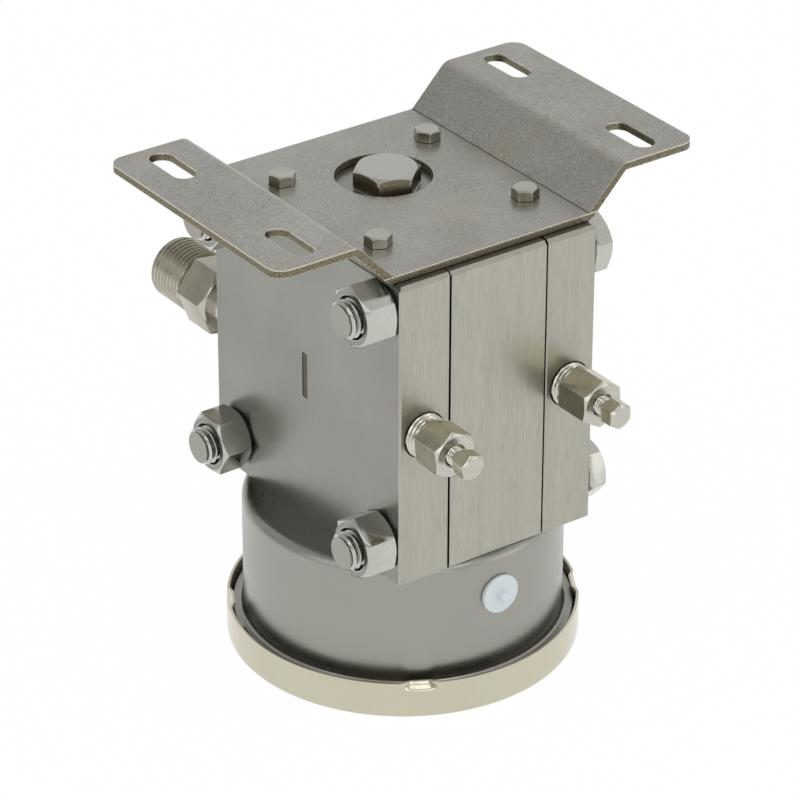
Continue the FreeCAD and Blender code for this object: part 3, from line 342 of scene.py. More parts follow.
def turned_steel(name, tone, axis, rough=0.24, ridge=0.25):
    """Machined bar with faint tool lines around one axis."""
    s = Shader(name)
    stretch = [120.0, 120.0, 120.0]
    stretch[axis] = 5200.0
    lines = s.noise(1.0, 2.0, 0.5, stretch=tuple(stretch))
    cloud = s.noise(240.0, 3.0, 0.5)
    dark, light = spread(tone, 0.12)
    mixed = s.math("ADD", s.math("MULTIPLY", lines, 0.5), s.math("MULTIPLY", cloud, 0.5))
    tint = s.mix(s.remap(mixed, 0.38, 0.62), dark, light)
    gloss = s.remap(lines, 0.35, 0.65, rough - 0.04, rough + 0.05)
    return s.finish(tint, gloss, normal=s.bump(lines, ridge, 0.00001))


def plain(name, tone, rough, metallic, shade=0.06, scale=900.0, bump=0.08):
    """Enamel, plastic or rubber with a faint grain."""
    s = Shader(name)
    fine = s.noise(scale, 4.0, 0.6)
    base = colour(*tone)
    dark = tuple(c * (1 - shade) for c in base[:3]) + (1.0,)
    gloss = s.remap(fine, 0.35, 0.65, max(0.03, rough - 0.04), rough + 0.05)
    return s.finish(s.mix(s.remap(fine, 0.35, 0.65), dark, base), gloss, metallic, s.bump(fine, bump, 0.00002))


def glass():
    s = Shader("window_clear")
    faint = s.noise(60.0, 2.0, 0.5)
    s.bsdf.inputs["Transmission Weight"].default_value = 1.0
    s.bsdf.inputs["IOR"].default_value = 1.45
    tint = s.mix(faint, (0.97, 0.99, 0.98, 1), (0.99, 1.0, 0.995, 1))
    return s.finish(tint, s.remap(faint, 0.3, 0.7, 0.0, 0.02), 0.0)


def relief_plastic():
    s = Shader("relief_moulded")
    fine = s.noise(500.0, 3.0, 0.5)
    s.bsdf.inputs["Subsurface Weight"].default_value = 0.25
    s.bsdf.inputs["Subsurface Radius"].default_value = (0.002, 0.002, 0.003)
    s.bsdf.inputs["Subsurface Scale"].default_value = 1.0
    return s.finish(s.mix(fine, colour(212, 222, 226), colour(226, 233, 236)), s.remap(fine, 0.3, 0.7, 0.32, 0.42), 0.0,
                    s.bump(fine, 0.06, 0.00005))


MATERIALS = {
    "bezel": satin_steel("bezel_polished", (199, 194, 174), 0.03, 0.16, 1500.0, 0.03, warm=0.35),
    "bezel_inner": plain("bezel_inner_wall", (196, 190, 170), 0.25, 0.45, 0.10, 600.0, 0.05),
    "case": satin_steel("case_satin", (157, 157, 150), 0.03, 0.30, 2400.0, 0.06, warm=0.25),
    "block": block_steel(),
    "bracket": bracket_steel(),
    "fastener": satin_steel("fastener_polished", (190, 189, 182), 0.06, 0.12, 1300.0, 0.05, warm=0.2),
    "screw": satin_steel("screw_rough", (182, 181, 171), 0.12, 0.22, 2600.0, 0.2, warm=0.3),
    # painted shade: a darker copy of the screw steel for the sides of the screw heads
    "screw_side_shade": satin_steel("screw_side_shade_rough", (158, 154, 138), 0.12, 0.22, 2600.0, 0.2, warm=0.3),
    # painted shade: a darker, duller copy of the plug steel for the plug's hex sides
    "plug_side_shade": satin_steel("plug_side_shade_dull", (138, 131, 110), 0.08, 0.30, 1700.0, 0.03, warm=0.3),
    "plug": satin_steel("plug_satin", (184, 184, 178), 0.04, 0.20, 1700.0, 0.08, warm=0.15),
    "fitting_y": turned_steel("fitting_turned", (202, 199, 188), 1, 0.14),
    "fitting_flat": turned_steel("fitting_milled", (188, 182, 161), 1, 0.20, 0.2),
    "union_flat": turned_steel("union_milled", (164, 160, 144), 1, 0.20, 0.2),
    # painted shade: a darker copy of the milled fitting steel for faces that turn downward
    "fitting_under_shade": turned_steel("fitting_milled_under_shade", (136, 132, 116), 1, 0.20, 0.2),
    # painted shade: dark material for the roots of the threads
    "groove": satin_steel("thread_groove", (84, 79, 66), 0.10, 0.30, 1500.0, 0.06),
    # The bolt ends and the ±X end faces of heads and nuts get darker tones than the polished flanks: partly a matte
    # faced finish, partly painted shade
    "tip": satin_steel("tips_faced_shade", (158, 158, 150), 0.04, 0.30, 2200.0, 0.08),
    "fitting_face": satin_steel("fitting_faced", (192, 190, 180), 0.05, 0.20, 2200.0, 0.06),
    "faced": satin_steel("ends_faced_shade", (147, 147, 140), 0.04, 0.30, 2200.0, 0.08),
    "steel": satin_steel("inner_steel", (186, 186, 184), 0.08, 0.25, 1800.0, 0.10),
    "brass": satin_steel("movement_brass_satin", (196, 170, 112), 0.08, 0.28, 1800.0, 0.12),
    "spring": satin_steel("spring_bright", (190, 168, 120), 0.05, 0.18, 1500.0, 0.05),
    "enamel": plain("dial_enamel", (238, 238, 234), 0.45, 0.0, 0.03),
    "ink": plain("dial_ink", (20, 20, 20), 0.5, 0.0, 0.2),
    "pointer": plain("pointer_enamel", (18, 18, 18), 0.35, 0.0, 0.2),
    "rubber": plain("gasket_black", (28, 28, 28), 0.6, 0.0, 0.25, 700.0, 0.3),
    "polymer": plain("seal_white", (220, 219, 212), 0.4, 0.0, 0.05),
    "relief": relief_plastic(),
    "etched": plain("etched_mark", (104, 98, 82), 0.5, 0.7, 0.25, 2500.0, 0.4),
    # painted shade: near-black material for nut collars, countersinks, screw-head undersides and the ring round each
    # vent, where shade falls
    "painted_shade": plain("joint_painted_shade", (38, 35, 29), 0.55, 0.3, 0.25, 1500.0, 0.3),
    "glass": glass(),
}
SLOT_LOOKS = {
    "bezel_steel": "bezel", "case_steel": "case", "block_steel": "block", "flange_steel": "block",
    "bracket_steel": "bracket", "fastener_steel": "fastener", "fitting_steel": "fitting_y",
    "sensor_steel": "steel", "movement_brass": "brass", "movement_steel": "steel", "spring_alloy": "spring",
    "dial_white": "enamel", "pointer_black": "pointer", "window": "glass", "gasket_rubber": "rubber",
    "seal_polymer": "polymer", "relief_white": "relief",
}


def dress_cad_nodes():
    slots = {row["node"]: row["material_slot"] for row in frame["record"]["subparts"]}
    for name, obj in frame["nodes"].items():
        obj.data.materials.clear()
        obj.data.materials.append(MATERIALS[SLOT_LOOKS[slots[name]]])


# Mesh building

SIDES = {
    "+X": (Vector((0, 1, 0)), Vector((0, 0, 1)), Vector((1, 0, 0))),
    "-X": (Vector((0, 1, 0)), Vector((0, 0, 1)), Vector((-1, 0, 0))),
    "+Y": (Vector((1, 0, 0)), Vector((0, 0, 1)), Vector((0, 1, 0))),
    "-Y": (Vector((1, 0, 0)), Vector((0, 0, 1)), Vector((0, -1, 0))),
    "+Z": (Vector((1, 0, 0)), Vector((0, 1, 0)), Vector((0, 0, 1))),
    "-Z": (Vector((1, 0, 0)), Vector((0, 1, 0)), Vector((0, 0, -1))),
}
HEX_STEPS = (0.0, 3.0, 10.0, 20.0, 30.0, 40.0, 50.0, 57.0)


class Piece:
    """Collects closed shells in millimetres and turns them into one object."""

    def __init__(self, name):
        self.name = name
        self.mesh = bmesh.new()
        self.materials = []

    def index(self, material):
        if material not in self.materials:
            self.materials.append(material)
        return self.materials.index(material)

    def shell(self, rows, faces, material):
        """Add vertices (Vectors in mm) and faces (index tuples); material is one for all or a list, one a face."""
        looks = material if isinstance(material, list) else [material] * len(faces)
        made = [self.mesh.verts.new(v * MM) for v in rows]
        for face, look in zip(faces, looks):
            corners = []
            for i in face:
                if made[i] not in corners:
                    corners.append(made[i])
            if len(corners) > 2:
                self.mesh.faces.new(corners).material_index = self.index(look)
        bmesh.ops.remove_doubles(self.mesh, verts=made, dist=1e-6)

    def bevel(self, size, least_deg=35.0, segments=2):
        self.mesh.edges.ensure_lookup_table()
        sharp = [e for e in self.mesh.edges if len(e.link_faces) == 2
                 and e.calc_face_angle(0.0) > math.radians(least_deg)]
        bmesh.ops.bevel(self.mesh, geom=sharp, offset=size * MM, segments=segments, profile=0.6, affect="EDGES",
                        clamp_overlap=True)

    def paint(self, material, test):
        """Give faces another material where test(normal, middle in mm) holds."""
        index = self.index(material)
        self.mesh.normal_update()
        for face in self.mesh.faces:
            if test(face.normal, face.calc_center_median() / MM):
                face.material_index = index

    def done(self, smooth_deg=28.0, body="gauge", replaces=()):
        bmesh.ops.dissolve_degenerate(self.mesh, dist=1e-7, edges=self.mesh.edges[:])
        bmesh.ops.recalc_face_normals(self.mesh, faces=self.mesh.faces[:])
        for face in self.mesh.faces:
            face.smooth = True
        for edge in self.mesh.edges:
            edge.smooth = len(edge.link_faces) == 2 and edge.calc_face_angle(0.0) < math.radians(smooth_deg)
        data = bpy.data.meshes.new(self.name)
        self.mesh.to_mesh(data)
        self.mesh.free()
        for material in self.materials:
            data.materials.append(material)
        obj = bpy.data.objects.new(self.name, data)
        bpy.context.scene.collection.objects.link(obj)
        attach(obj, body)
        if replaces:
            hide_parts(*replaces)


def ring_rows(rings, angles, base, side):
    """Vertices of stacked rings; a ring is (radius, height) or a function of the angle giving both."""
    u, v, w = SIDES[side]
    rows = []
    for ring in rings:
        for deg in angles:
            r, h = ring(deg) if callable(ring) else ring
            a = math.radians(deg)
            rows.append(base + u * (r * math.cos(a)) + v * (r * math.sin(a)) + w * h)
    return rows


def ring_faces(count, columns, loop):
    faces = []
    for k in range(count if loop else count - 1):
        low, high = k * columns, ((k + 1) % count) * columns
        for i in range(columns):
            j = (i + 1) % columns
            faces.append((low + i, low + j, high + j, high + i))
    if not loop:
        faces.append(tuple(range(columns)))
        faces.append(tuple(range((count - 1) * columns, count * columns)))
    return faces


def stack(piece, rings, base, side, material, angles=None, loop=False):
    """Add a solid of stacked rings; loop joins the last ring to the first, as in a nut."""
    angles = angles or [360.0 * i / 48 for i in range(48)]
    piece.shell(ring_rows(rings, angles, Vector(base), side), ring_faces(len(rings), len(angles), loop), material)


def hex_angles(corner_deg):
    return [corner_deg + 60 * k + step for k in range(6) for step in HEX_STEPS]


def hex_rings(af, start, end, corner_deg, bevel_start, bevel_end, share=0.95):
    """Rings of a hexagon bar with its ends turned to 30 degrees, from height start to end."""
    flat = share * af / 2
    slope = math.tan(math.radians(30))

    def reach(deg):
        return (af / 2) / math.cos(math.radians((deg - corner_deg) % 60 - 30))

    def low(deg):
        r = reach(deg)
        return r, start + (r - flat) * slope if bevel_start else start

    def high(deg):
        r = reach(deg)
        return r, end - (r - flat) * slope if bevel_end else end

    rings = [low, high]
    if bevel_start:
        rings.insert(0, (flat, start))
    if bevel_end:
        rings.append((flat, end))
    return rings


THREAD_STOPS = (0.0, 0.05, 0.12, 0.17, 0.44, 0.53, 0.62, 0.71)
THREAD_DEPTHS = (0.10, 0.0, 0.0, 0.10, 0.92, 1.0, 1.0, 0.92)
THREAD_ROOT = (4, 5, 6)


def thread(piece, r, pitch, depth, length, base, side, material, bevel_start=0.0, bevel_end=0.0, columns=48,
           flank_shade=None, bore=None):
    """Add a closed shell with a helical thread from height 0 to length, with painted shade at its roots, bored if
    asked.
    """
    paints = [material] * len(THREAD_STOPS)
    # painted shade: the last flank can take a darker material
    paints[-1] = flank_shade or material
    # painted shade: the root faces of the thread get the dark material
    for k in THREAD_ROOT:
        paints[k] = MATERIALS["groove"]
    u, v, w = SIDES[side]
    hand = 1.0 if u.cross(v).dot(w) > 0 else -1.0
    stops = len(THREAD_STOPS)
    turns = int(math.ceil(length / pitch)) + 3
    base = Vector(base)
    rows = []
    for i in range(columns + 1):
        a = 2 * math.pi * i / columns
        for k in range(stops * turns):
            h = pitch * (k // stops + THREAD_STOPS[k % stops] - 2.0 + hand * i / columns + (1.0 if hand < 0 else 0.0))
            radius = r - depth * THREAD_DEPTHS[k % stops]
            h = min(max(h, 0.0), length)
            if h == 0.0:
                radius = r - max(bevel_start, 0.0)
            elif h == length:
                radius = r - max(bevel_end, 0.0)
            else:
                radius = min(radius, r - bevel_start + h if bevel_start else radius,
                             r - bevel_end + (length - h) if bevel_end else radius)
            rows.append(base + u * (radius * math.cos(a)) + v * (radius * math.sin(a)) + w * h)
    per = stops * turns
    faces, looks = [], []
    for i in range(columns):
        for k in range(per - 1):
            faces.append((i * per + k, (i + 1) * per + k, (i + 1) * per + k + 1, i * per + k + 1))
            looks.append(paints[k % stops])
    if bore is None:
        faces.append(tuple(i * per for i in range(columns)))
        faces.append(tuple(i * per + per - 1 for i in range(columns)))
        piece.shell(rows, faces, looks + [material] * 2)
        return
    start = len(rows)
    for i in range(columns + 1):
        a = 2 * math.pi * i / columns
        across = u * (bore * math.cos(a)) + v * (bore * math.sin(a))
        rows += [base + across, base + across + w * (length - 0.4), base + across * 1.16 + w * length]
    for i in range(columns):
        near, far = start + 3 * i, start + 3 * (i + 1)
        faces += [(i * per, (i + 1) * per, far, near), (near, far, far + 1, near + 1),
                  (near + 1, far + 1, far + 2, near + 2),
                  (near + 2, far + 2, (i + 1) * per + per - 1, i * per + per - 1)]
        looks += [material] * 4
    piece.shell(rows, faces, looks)


def tie_spots():
    return [(sy * TIE_Y, TIE_Z[sz], (sy, sz)) for sy in (-1, 1) for sz in (-1, 1)]


def make_ties():
    bolts = Piece("tie_bolts_threaded")
    nuts = Piece("tie_nuts_turned")
    metal = MATERIALS["fastener"]
    for y, z, key in tie_spots():
        deg = TIE_HEAD_DEG[key]
        head = hex_rings(TIE_AF, 0.0, HEAD, deg, True, True, 0.92)
        stack(bolts, head, (STACK_HALF, y, z), "+X", metal, hex_angles(deg))
        deg = TIE_NUT_DEG[key]
        outer = hex_rings(TIE_AF, COLLAR, NUT_FACE, deg, True, True)
        bore = [(6.78, NUT_FACE), (6.78, COLLAR)]
        stack(nuts, outer + bore, (-STACK_HALF, y, z), "-X", metal, hex_angles(deg), loop=True)
    bolts.bevel(0.28)
    nuts.bevel(0.28)
    # partly a matte faced finish and partly painted shade: the ±X end faces get a darker tone than the polished flanks
    faced = MATERIALS["faced"]
    bolts.paint(faced, lambda normal, middle: abs(normal.x) > 0.97)
    nuts.paint(faced, lambda normal, middle: abs(normal.x) > 0.97)
    # painted shade: the nut collars and countersinks below get the near-black material
    dark = MATERIALS["painted_shade"]
    for y, z, key in tie_spots():
        seat = (-STACK_HALF, y, z)
        collar = [(6.08, 0.0), (COLLAR_R, 0.0), (COLLAR_R, COLLAR + 0.1), (6.08, COLLAR + 0.1)]
        stack(nuts, collar, seat, "-X", dark, loop=True)
        sink = [(6.8, 2.0), (6.8, NUT_FACE - 0.02), (6.7, NUT_FACE - 0.04), (6.06, NUT_FACE - 0.9), (6.06, 2.0)]
        stack(nuts, sink, seat, "-X", dark, loop=True)
        stack(bolts, [(5.9, 0.0), (5.9, 2 * STACK_HALF + 1.0)], (STACK_HALF + 0.5, y, z), "-X", metal)
        thread(bolts, BOLT_R, BOLT_PITCH, 1.05, BOLT_END, seat, "-X", metal, bevel_end=BOLT_CHAMFER)
    tip = -STACK_HALF - BOLT_END + 0.05
    bolts.paint(MATERIALS["tip"], lambda normal, middle: middle.x < tip)
    bolts.done(replaces=("tie_bolts",))
    nuts.done(replaces=("tie_nuts",))


def make_bracket_screws():
    screws = Piece("bracket_screws_turned")
    top = BLOCK_TOP + BRACKET_T
    metal = MATERIALS["screw"]
    spots = [(sx * SCREW_X, SCREW_MID_Y + sy * SCREW_Y, SCREW_DEG[(sx, sy)]) for sx in (-1, 1) for sy in (-1, 1)]
    for x, y, deg in spots:
        rings = hex_rings(SCREW_AF, 0.0, 3.5, deg, False, True, 0.90) + [(3.0, 3.44), (1.2, 3.36)]
        stack(screws, rings, (x, y, top), "+Z", metal, hex_angles(deg))
    screws.bevel(0.16)
    # painted shade: the sides of the heads get the darker copy of the steel
    screws.paint(MATERIALS["screw_side_shade"], lambda normal, middle: abs(normal.z) < 0.2 and min(
        math.hypot(middle.x - x, middle.y - y) for x, y, deg in spots) < 4.2)
    # painted shade: the undersides of the screw heads are painted near-black
    screws.paint(MATERIALS["painted_shade"], lambda normal, middle: middle.z < top + 0.2)
    for x, y, deg in spots:
        stack(screws, [(2.45, 0.0), (2.45, 14.0)], (x, y, top + 0.5), "-Z", metal)
    screws.done(replaces=("bracket_screws",))


def make_closing_plug():
    plug = Piece("closing_plug_turned")
    metal = MATERIALS["plug"]
    rings = hex_rings(PLUG_AF, 0.0, PLUG_H, PLUG_DEG, False, True, 0.98) + [(6.0, PLUG_H), (2.0, 5.96), (0.8, 5.93)]
    stack(plug, rings, PLUG, "+Z", metal, hex_angles(PLUG_DEG))
    plug.bevel(0.25)
    # painted shade: the hex sides get the darker copy of the plug steel
    plug.paint(MATERIALS["plug_side_shade"], lambda normal, middle: abs(normal.z) < 0.1 and math.hypot(
        middle.x - PLUG[0], middle.y - PLUG[1]) < 10.3)
    stack(plug, [(5.9, -12.0), (5.9, 0.5)], PLUG, "+Z", metal)
    plug.done(replaces=("closing_plug",))


def make_union(side, name):
    piece = Piece(name + "_process_union_threaded")
    base = (side * PORT_X, BLOCK_Y1, PORT_Z)
    hex_end = UNION_NECK + UNION_HEX
    rings = hex_rings(UNION_AF, UNION_NECK, hex_end, UNION_DEG, True, False, 0.93)
    stack(piece, rings, base, "+Y", MATERIALS["union_flat"], hex_angles(UNION_DEG))
    piece.bevel(0.2)
    piece.paint(MATERIALS["fitting_face"], lambda normal, middle: abs(normal.y) > 0.4)
    metal = MATERIALS["fitting_y"]
    stack(piece, [(8.0, -0.3), (8.0, UNION_NECK + 0.4)], base, "+Y", metal)
    stack(piece, [(9.3, hex_end - 0.3), (9.3, hex_end + 2.0)], base, "+Y", metal)
    crest = (base[0], BLOCK_Y1 + hex_end + UNION_UNDERCUT, PORT_Z)
    # painted shade: the thread's last flank takes the darker milled-flat tone
    thread(piece, UNION_THREAD_R, UNION_PITCH, 0.95, UNION_THREAD - UNION_UNDERCUT, crest, "+Y", metal,
           bevel_start=0.5, bevel_end=0.8, columns=72, flank_shade=MATERIALS["union_flat"], bore=UNION_BORE)
    piece.done(replaces=(name + "_process_union",))


def make_vent(side, name):
    piece = Piece(name + "_vent_body_threaded")
    deg = VENT_DEG[side]
    base = (side * PORT_X, BLOCK_Y0, PORT_Z)
    neck = VENT_NECK[side]
    front = neck + VENT_HEX[side]
    rings = hex_rings(VENT_AF, neck, front, deg, False, True, 0.93)
    rings += [(3.9, front), (3.15, front - 0.7), (3.15, front - 6.0), (3.0, front - 6.0)]
    stack(piece, rings, base, "-Y", MATERIALS["fitting_flat"], hex_angles(deg))
    piece.bevel(0.12, 50.0)
    # painted shade: faces turned downward get the darker copy of the steel
    piece.paint(MATERIALS["fitting_under_shade"], lambda normal, middle: normal.z < 0.05)
    piece.paint(MATERIALS["fitting_face"], lambda normal, middle: abs(normal.y) > 0.4)
    inside = (base[0], BLOCK_Y0 + 3.4, PORT_Z)
    thread(piece, VENT_R, 1.5, 0.85, neck + 3.4 + 0.1, inside, "-Y", MATERIALS["fitting_y"])
    # painted shade: a near-black ring on the block face round the vent
    mouth = [(6.9, -0.1), (7.5, -0.1), (7.5, 0.04), (6.9, 0.04)]
    stack(piece, mouth, base, "-Y", MATERIALS["painted_shade"], loop=True)
    piece.done(replaces=(name + "_vent_body",))


def make_bleed(side, name):
    piece = Piece(name + "_bleed_screw_threaded")
    deg = BLEED_DEG[side]
    front_y = BLOCK_Y0 - VENT_NECK[side] - VENT_HEX[side]
    base = (side * PORT_X, front_y, PORT_Z)
    end = BLEED_NECK + BLEED_HEAD
    rings = hex_rings(BLEED_AF, BLEED_NECK, end, deg, False, True, 0.82) + [(1.6, end - 0.06), (0.5, end - 0.22)]
    stack(piece, rings, base, "-Y", MATERIALS["fitting_flat"], hex_angles(deg))
    piece.bevel(0.14)
    piece.paint(MATERIALS["fitting_face"], lambda normal, middle: abs(normal.y) > 0.4)
    turned = MATERIALS["fitting_y"]
    thread(piece, 3.0, 1.0, 0.5, BLEED_NECK + 6.2, (base[0], front_y + 6.0, PORT_Z), "-Y", turned, 0.4)
    stack(piece, [(2.2, 0.0), (2.2, 1.4)], (base[0], front_y + 7.0, PORT_Z), "-Y", turned)
    piece.done(body=name + "_screw", replaces=(name + "_bleed_screw",))


def make_bezel():
    """Drawn ring whose rear edge is pressed inward at four places."""
    columns = 480
    outer, inner, height, lip = 55.8, 54.8, 12.5, 47.5
    dent_deg, dent_half, dent_fade = 60.0, 6.8, 4.1
    dent_z, dent_rise, dent_depth = 9.5, 2.8, 1.5

    def press(deg, z):
        depth = 0.0
        for k in range(4):
            away = abs((deg - dent_deg - 90.0 * k + 180.0) % 360.0 - 180.0)
            along = math.radians(away) * outer
            share = min(1.0, max(0.0, (dent_half - along) / dent_fade))
            depth = max(depth, share * share * (3 - 2 * share))
        rise = min(1.0, max(0.0, (z - dent_z) / dent_rise))
        return dent_depth * depth * rise * rise * (3 - 2 * rise)

    profile = [(lip, 1.2), (lip, 0.25), (lip + 0.25, 0.0), (54.2, 0.0)]
    profile += [(54.2 + 1.6 * math.sin(math.radians(a)), 1.6 - 1.6 * math.cos(math.radians(a)))
                for a in (15, 30, 45, 60, 75, 90)]
    profile += [(outer, 5.0), (outer, 8.4)]
    profile += [(outer, 9.3 + 0.275 * k) for k in range(11)]
    profile += [(outer - 0.12, height - 0.04), (outer - 0.3, height)]
    profile += [(inner + 0.3, height), (inner + 0.12, height - 0.04)]
    profile += [(inner, 12.05 - 0.275 * k) for k in range(11)]
    profile += [(inner, 8.4), (inner, 1.9), (inner - 0.7, 1.2)]

    def ring(r, z):
        return lambda deg: (r - press(deg, z), z) if r > 54.0 and z > 9.0 else (r, z)

    piece = Piece("bezel_ring_pressed")
    angles = [360.0 * i / columns for i in range(columns)]
    stack(piece, [ring(r, z) for r, z in profile], (0, 0, 0), "+Z", MATERIALS["bezel"], angles, loop=True)
    piece.paint(MATERIALS["bezel_inner"], lambda normal, middle: middle.z > 1.0 and normal.xy.dot(middle.xy) < -20.0)
    piece.done(32.0, "bezel", ("bezel_ring",))


def engrave(name, outline, depth=0.2):
    """Copy of a flange with its pressure-side mark, a closed (Y, Z) outline, milled into the outer face."""
    source = frame["nodes"][name]
    data = source.data.copy()
    data.materials.append(MATERIALS["etched"])
    obj = bpy.data.objects.new(name + "_marked", data)
    bpy.context.scene.collection.objects.link(obj)
    side = 1 if name.startswith("high") else -1
    rows = [Vector((side * (STACK_HALF + off), y, z)) * MM for off in (-depth, depth) for y, z in outline]
    count = len(outline)
    faces = [tuple(range(count)), tuple(range(count, 2 * count))]
    faces += [(i, (i + 1) % count, count + (i + 1) % count, count + i) for i in range(count)]
    cutter_mesh = bpy.data.meshes.new(name + "_cutter")
    cutter_mesh.from_pydata(rows, [], faces)
    shape = bmesh.new()
    shape.from_mesh(cutter_mesh)
    bmesh.ops.recalc_face_normals(shape, faces=shape.faces[:])
    shape.to_mesh(cutter_mesh)
    shape.free()
    cutter_mesh.materials.append(MATERIALS["etched"])
    tool = bpy.data.objects.new(name + "_cutter", cutter_mesh)
    bpy.context.scene.collection.objects.link(tool)
    cut = obj.modifiers.new("mark", "BOOLEAN")
    cut.operation = "DIFFERENCE"
    cut.solver = "EXACT"
    cut.object = tool
    cut.material_mode = "TRANSFER"
    bpy.context.view_layer.update()
    final = bpy.data.meshes.new_from_object(obj.evaluated_get(bpy.context.evaluated_depsgraph_get()))
    obj.modifiers.clear()
    obj.data = final
    bpy.data.objects.remove(tool)
    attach(obj, "gauge")
    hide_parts(name)


def make_dial_print():
    """Scale arc, ticks, numbers and unit on the dial, read from the front of the gauge."""
    face = DIAL_Z - 0.03
    ink = MATERIALS["ink"]
    piece = Piece("dial_print")

    def spot(r, deg):
        a = math.radians(deg)
        return r * math.cos(a), r * math.sin(a)

    def bar(r0, r1, deg, width):
        a = math.radians(deg)
        across = Vector((-math.sin(a), math.cos(a), 0)) * (width / 2)
        x0, y0 = spot(r0, deg)
        x1, y1 = spot(r1, deg)
        rows = []
        for z in (face, DIAL_Z + 0.01):
            rows += [Vector((x0, y0, z)) - across, Vector((x1, y1, z)) - across, Vector((x1, y1, z)) + across,
                     Vector((x0, y0, z)) + across]
        faces = [(0, 1, 2, 3), (4, 5, 6, 7)] + [(k, (k + 1) % 4, (k + 1) % 4 + 4, k + 4) for k in range(4)]
        piece.shell(rows, faces, ink)

    steps = 50
    for k in range(steps + 1):
        deg = SCALE_START + SCALE_SWEEP * k / steps
        if k % 5 == 0:
            bar(38.0, 43.0, deg, 0.7 if k % 10 == 0 else 0.5)
        else:
            bar(40.6, 43.0, deg, 0.3)
    arc = 135
    rows, faces = [], []
    for k in range(arc + 1):
        deg = SCALE_START + SCALE_SWEEP * k / arc
        for r in (42.9, 43.3):
            for z in (face, DIAL_Z + 0.01):
                x, y = spot(r, deg)
                rows.append(Vector((x, y, z)))
    for k in range(arc):
        a, b = 4 * k, 4 * (k + 1)
        for p, q in ((0, 1), (1, 3), (3, 2), (2, 0)):
            faces.append((a + p, a + q, b + q, b + p))
    faces += [(0, 1, 3, 2), (4 * arc, 4 * arc + 1, 4 * arc + 3, 4 * arc + 2)]
    piece.shell(rows, faces, ink)
    piece.done()
    for k in range(6):
        x, y = spot(31.5, SCALE_START + SCALE_SWEEP / 5 * k)
        make_label("dial_number_%d" % k, str(20 * k), x, y, 6.2)
    make_label("dial_unit", "kPa", 0.0, -17.0, 5.4)


def make_label(name, text, x, y, size):
    curve = bpy.data.curves.new(name, "FONT")
    curve.body = text
    curve.size = size * MM
    curve.align_x = "CENTER"
    curve.align_y = "CENTER"
    curve.extrude = 0.02 * MM
    curve.resolution_u = 4
    draft = bpy.data.objects.new(name + "_draft", curve)
    bpy.context.scene.collection.objects.link(draft)
    bpy.context.view_layer.update()
    data = bpy.data.meshes.new_from_object(draft.evaluated_get(bpy.context.evaluated_depsgraph_get()))
    bpy.data.objects.remove(draft)
    turn = Matrix.Translation(Vector((x, y, DIAL_Z - 0.015)) * MM) @ Matrix.Rotation(math.pi, 4, "X")
    data.transform(turn)
    data.materials.clear()
    data.materials.append(MATERIALS["ink"])
    obj = bpy.data.objects.new(name, data)
    bpy.context.scene.collection.objects.link(obj)
    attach(obj, "gauge")


# Stage


def make_stage():
    """White floor that shows plain white to camera and metal, and is clear from below."""
    half = 4.0
    low = -0.00005
    glow_share = 0.985
    floor_mesh = bpy.data.meshes.new("floor")
    floor_mesh.from_pydata([(-half, -half, low), (half, -half, low), (half, half, low), (-half, half, low)], [],
                           [(0, 1, 2, 3)])
    floor = bpy.data.objects.new("floor", floor_mesh)
    bpy.context.scene.collection.objects.link(floor)
    material = bpy.data.materials.new("floor_white")
    material.use_nodes = True
    nodes = Nodes(material.node_tree)
    nodes.tree.nodes.clear()
    ray = nodes.node("LightPath").outputs
    direct = nodes.math("MAXIMUM", ray["Is Camera Ray"], ray["Is Glossy Ray"])
    seen = nodes.math("MAXIMUM", direct, ray["Is Transmission Ray"])
    paper = nodes.surface("BsdfDiffuse", (0.9, 0.9, 0.9, 1))
    glow = nodes.surface("Emission", (1, 1, 1, 1))
    above = nodes.mix_shader(nodes.math("MULTIPLY", seen, glow_share), paper, glow)
    behind = nodes.node("NewGeometry").outputs["Backfacing"]
    one_way = nodes.mix_shader(behind, above, nodes.surface("BsdfTransparent"))
    nodes.feed(nodes.node("OutputMaterial").inputs[0], one_way)
    material.cycles.emission_sampling = "NONE"
    floor_mesh.materials.append(material)


def make_world():
    """White for the camera; metal sees it a little darker above on the low-pressure side."""
    diffuse_level, camera_level = 0.68, 1.0
    world = bpy.data.worlds.new("studio")
    bpy.context.scene.world = world
    world.use_nodes = True
    world.cycles.sampling_method = "NONE"
    nodes = Nodes(world.node_tree)
    nodes.tree.nodes.clear()
    dot = nodes.node("VectorMath", operation="DOT_PRODUCT")
    nodes.feed(dot.inputs[0], nodes.node("TexCoord").outputs["Generated"])
    dot.inputs[1].default_value = (0.9, 0.1, -0.4)
    mirrored = nodes.remap(dot.outputs["Value"], -0.8, 0.3, 0.53, 0.80, "SMOOTHSTEP")
    ray = nodes.node("LightPath").outputs
    seen = nodes.math("MAXIMUM", ray["Is Camera Ray"], ray["Is Transmission Ray"])
    unseen_level = nodes.between(ray["Is Glossy Ray"], diffuse_level, mirrored)
    background = nodes.node("Background")
    background.inputs["Color"].default_value = (1, 1, 1, 1)
    nodes.feed(background.inputs["Strength"], nodes.between(seen, unseen_level, camera_level))
    nodes.feed(nodes.node("OutputWorld").inputs[0], background.outputs[0])


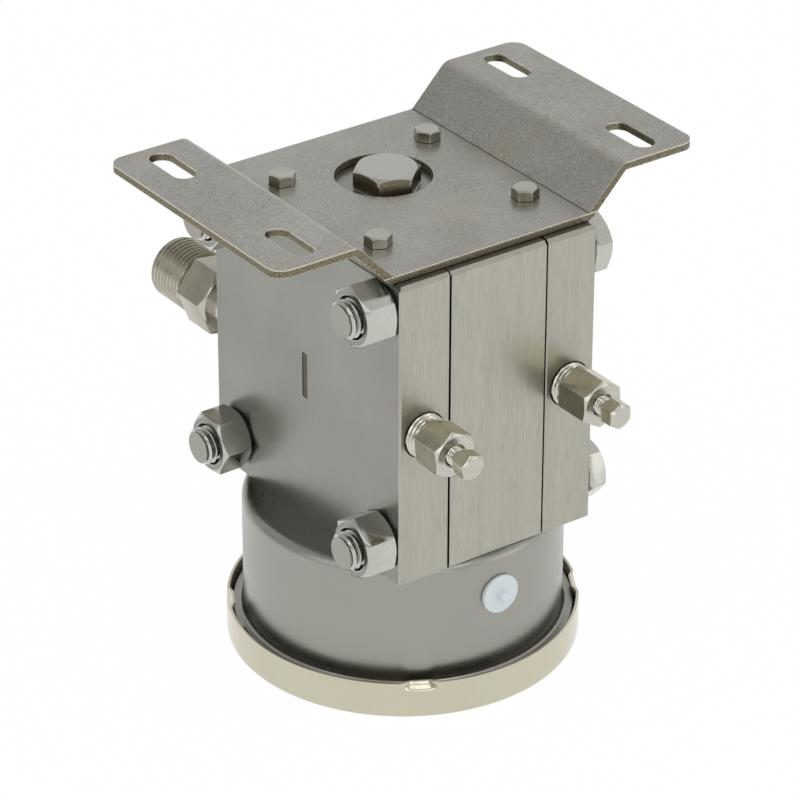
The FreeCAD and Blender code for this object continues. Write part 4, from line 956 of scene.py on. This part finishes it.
def make_light(name, place, target, size, power, tone=(1.0, 1.0, 1.0)):
    data = bpy.data.lights.new(name, "AREA")
    data.shape = "RECTANGLE"
    data.size, data.size_y = size
    data.energy = power
    data.color = tone
    lamp = bpy.data.objects.new(name, data)
    lamp.location = place
    aim = Vector(target) - Vector(place)
    lamp.rotation_euler = aim.to_track_quat("-Z", "Y").to_euler()
    bpy.context.scene.collection.objects.link(lamp)


def make_lights():
    middle = (0.0, 0.0, 0.08)
    make_light("softbox_right", (1.1, -1.35, 0.40), middle, (0.9, 1.0), 1.9, (1.0, 0.98, 0.95))
    make_light("softbox_left", (-1.3, -0.1, 0.8), middle, (0.9, 1.2), 2.0)
    make_light("softbox_low", (-0.45, -1.32, 0.34), middle, (0.55, 0.5), 1.0)
    make_light("softbox_top", (-0.15, -0.95, 1.0), middle, (0.8, 0.6), 2.0)


def make_camera():
    """Camera fitted to the photograph: azimuth, elevation and roll in degrees, place in millimetres."""
    focal_pixels, photo_pixels, sensor = 4119.58, 800.0, 36.0
    azimuth, elevation, roll = map(math.radians, (-35.66, 29.03, 0.16))
    back = Vector((math.sin(azimuth) * math.cos(elevation), -math.cos(azimuth) * math.cos(elevation),
                   math.sin(elevation)))
    right = Vector((math.cos(azimuth), math.sin(azimuth), 0.0))
    up = back.cross(right)
    turned_right = right * math.cos(roll) + up * math.sin(roll)
    turned_up = up * math.cos(roll) - right * math.sin(roll)
    data = bpy.data.cameras.new("camera")
    data.sensor_width = sensor
    data.lens = focal_pixels / photo_pixels * sensor
    data.clip_start = 0.05
    data.clip_end = 20.0
    camera = bpy.data.objects.new("camera", data)
    place = Matrix((turned_right, turned_up, back)).transposed().to_4x4()
    place.translation = Vector((-649.75, -903.77, 698.55)) * MM
    camera.matrix_world = place
    bpy.context.scene.collection.objects.link(camera)
    bpy.context.scene.camera = camera


dress_cad_nodes()
make_ties()
make_bracket_screws()
make_closing_plug()
for sign, label in ((-1, "low"), (1, "high")):
    make_union(sign, label)
    make_vent(sign, label)
    make_bleed(sign, label)
make_bezel()
engrave("low_flange", MINUS)
engrave("high_flange", PLUS)
make_dial_print()
make_stage()
make_world()
make_lights()
make_camera()
bpy.context.scene.view_settings.view_transform = "Standard"
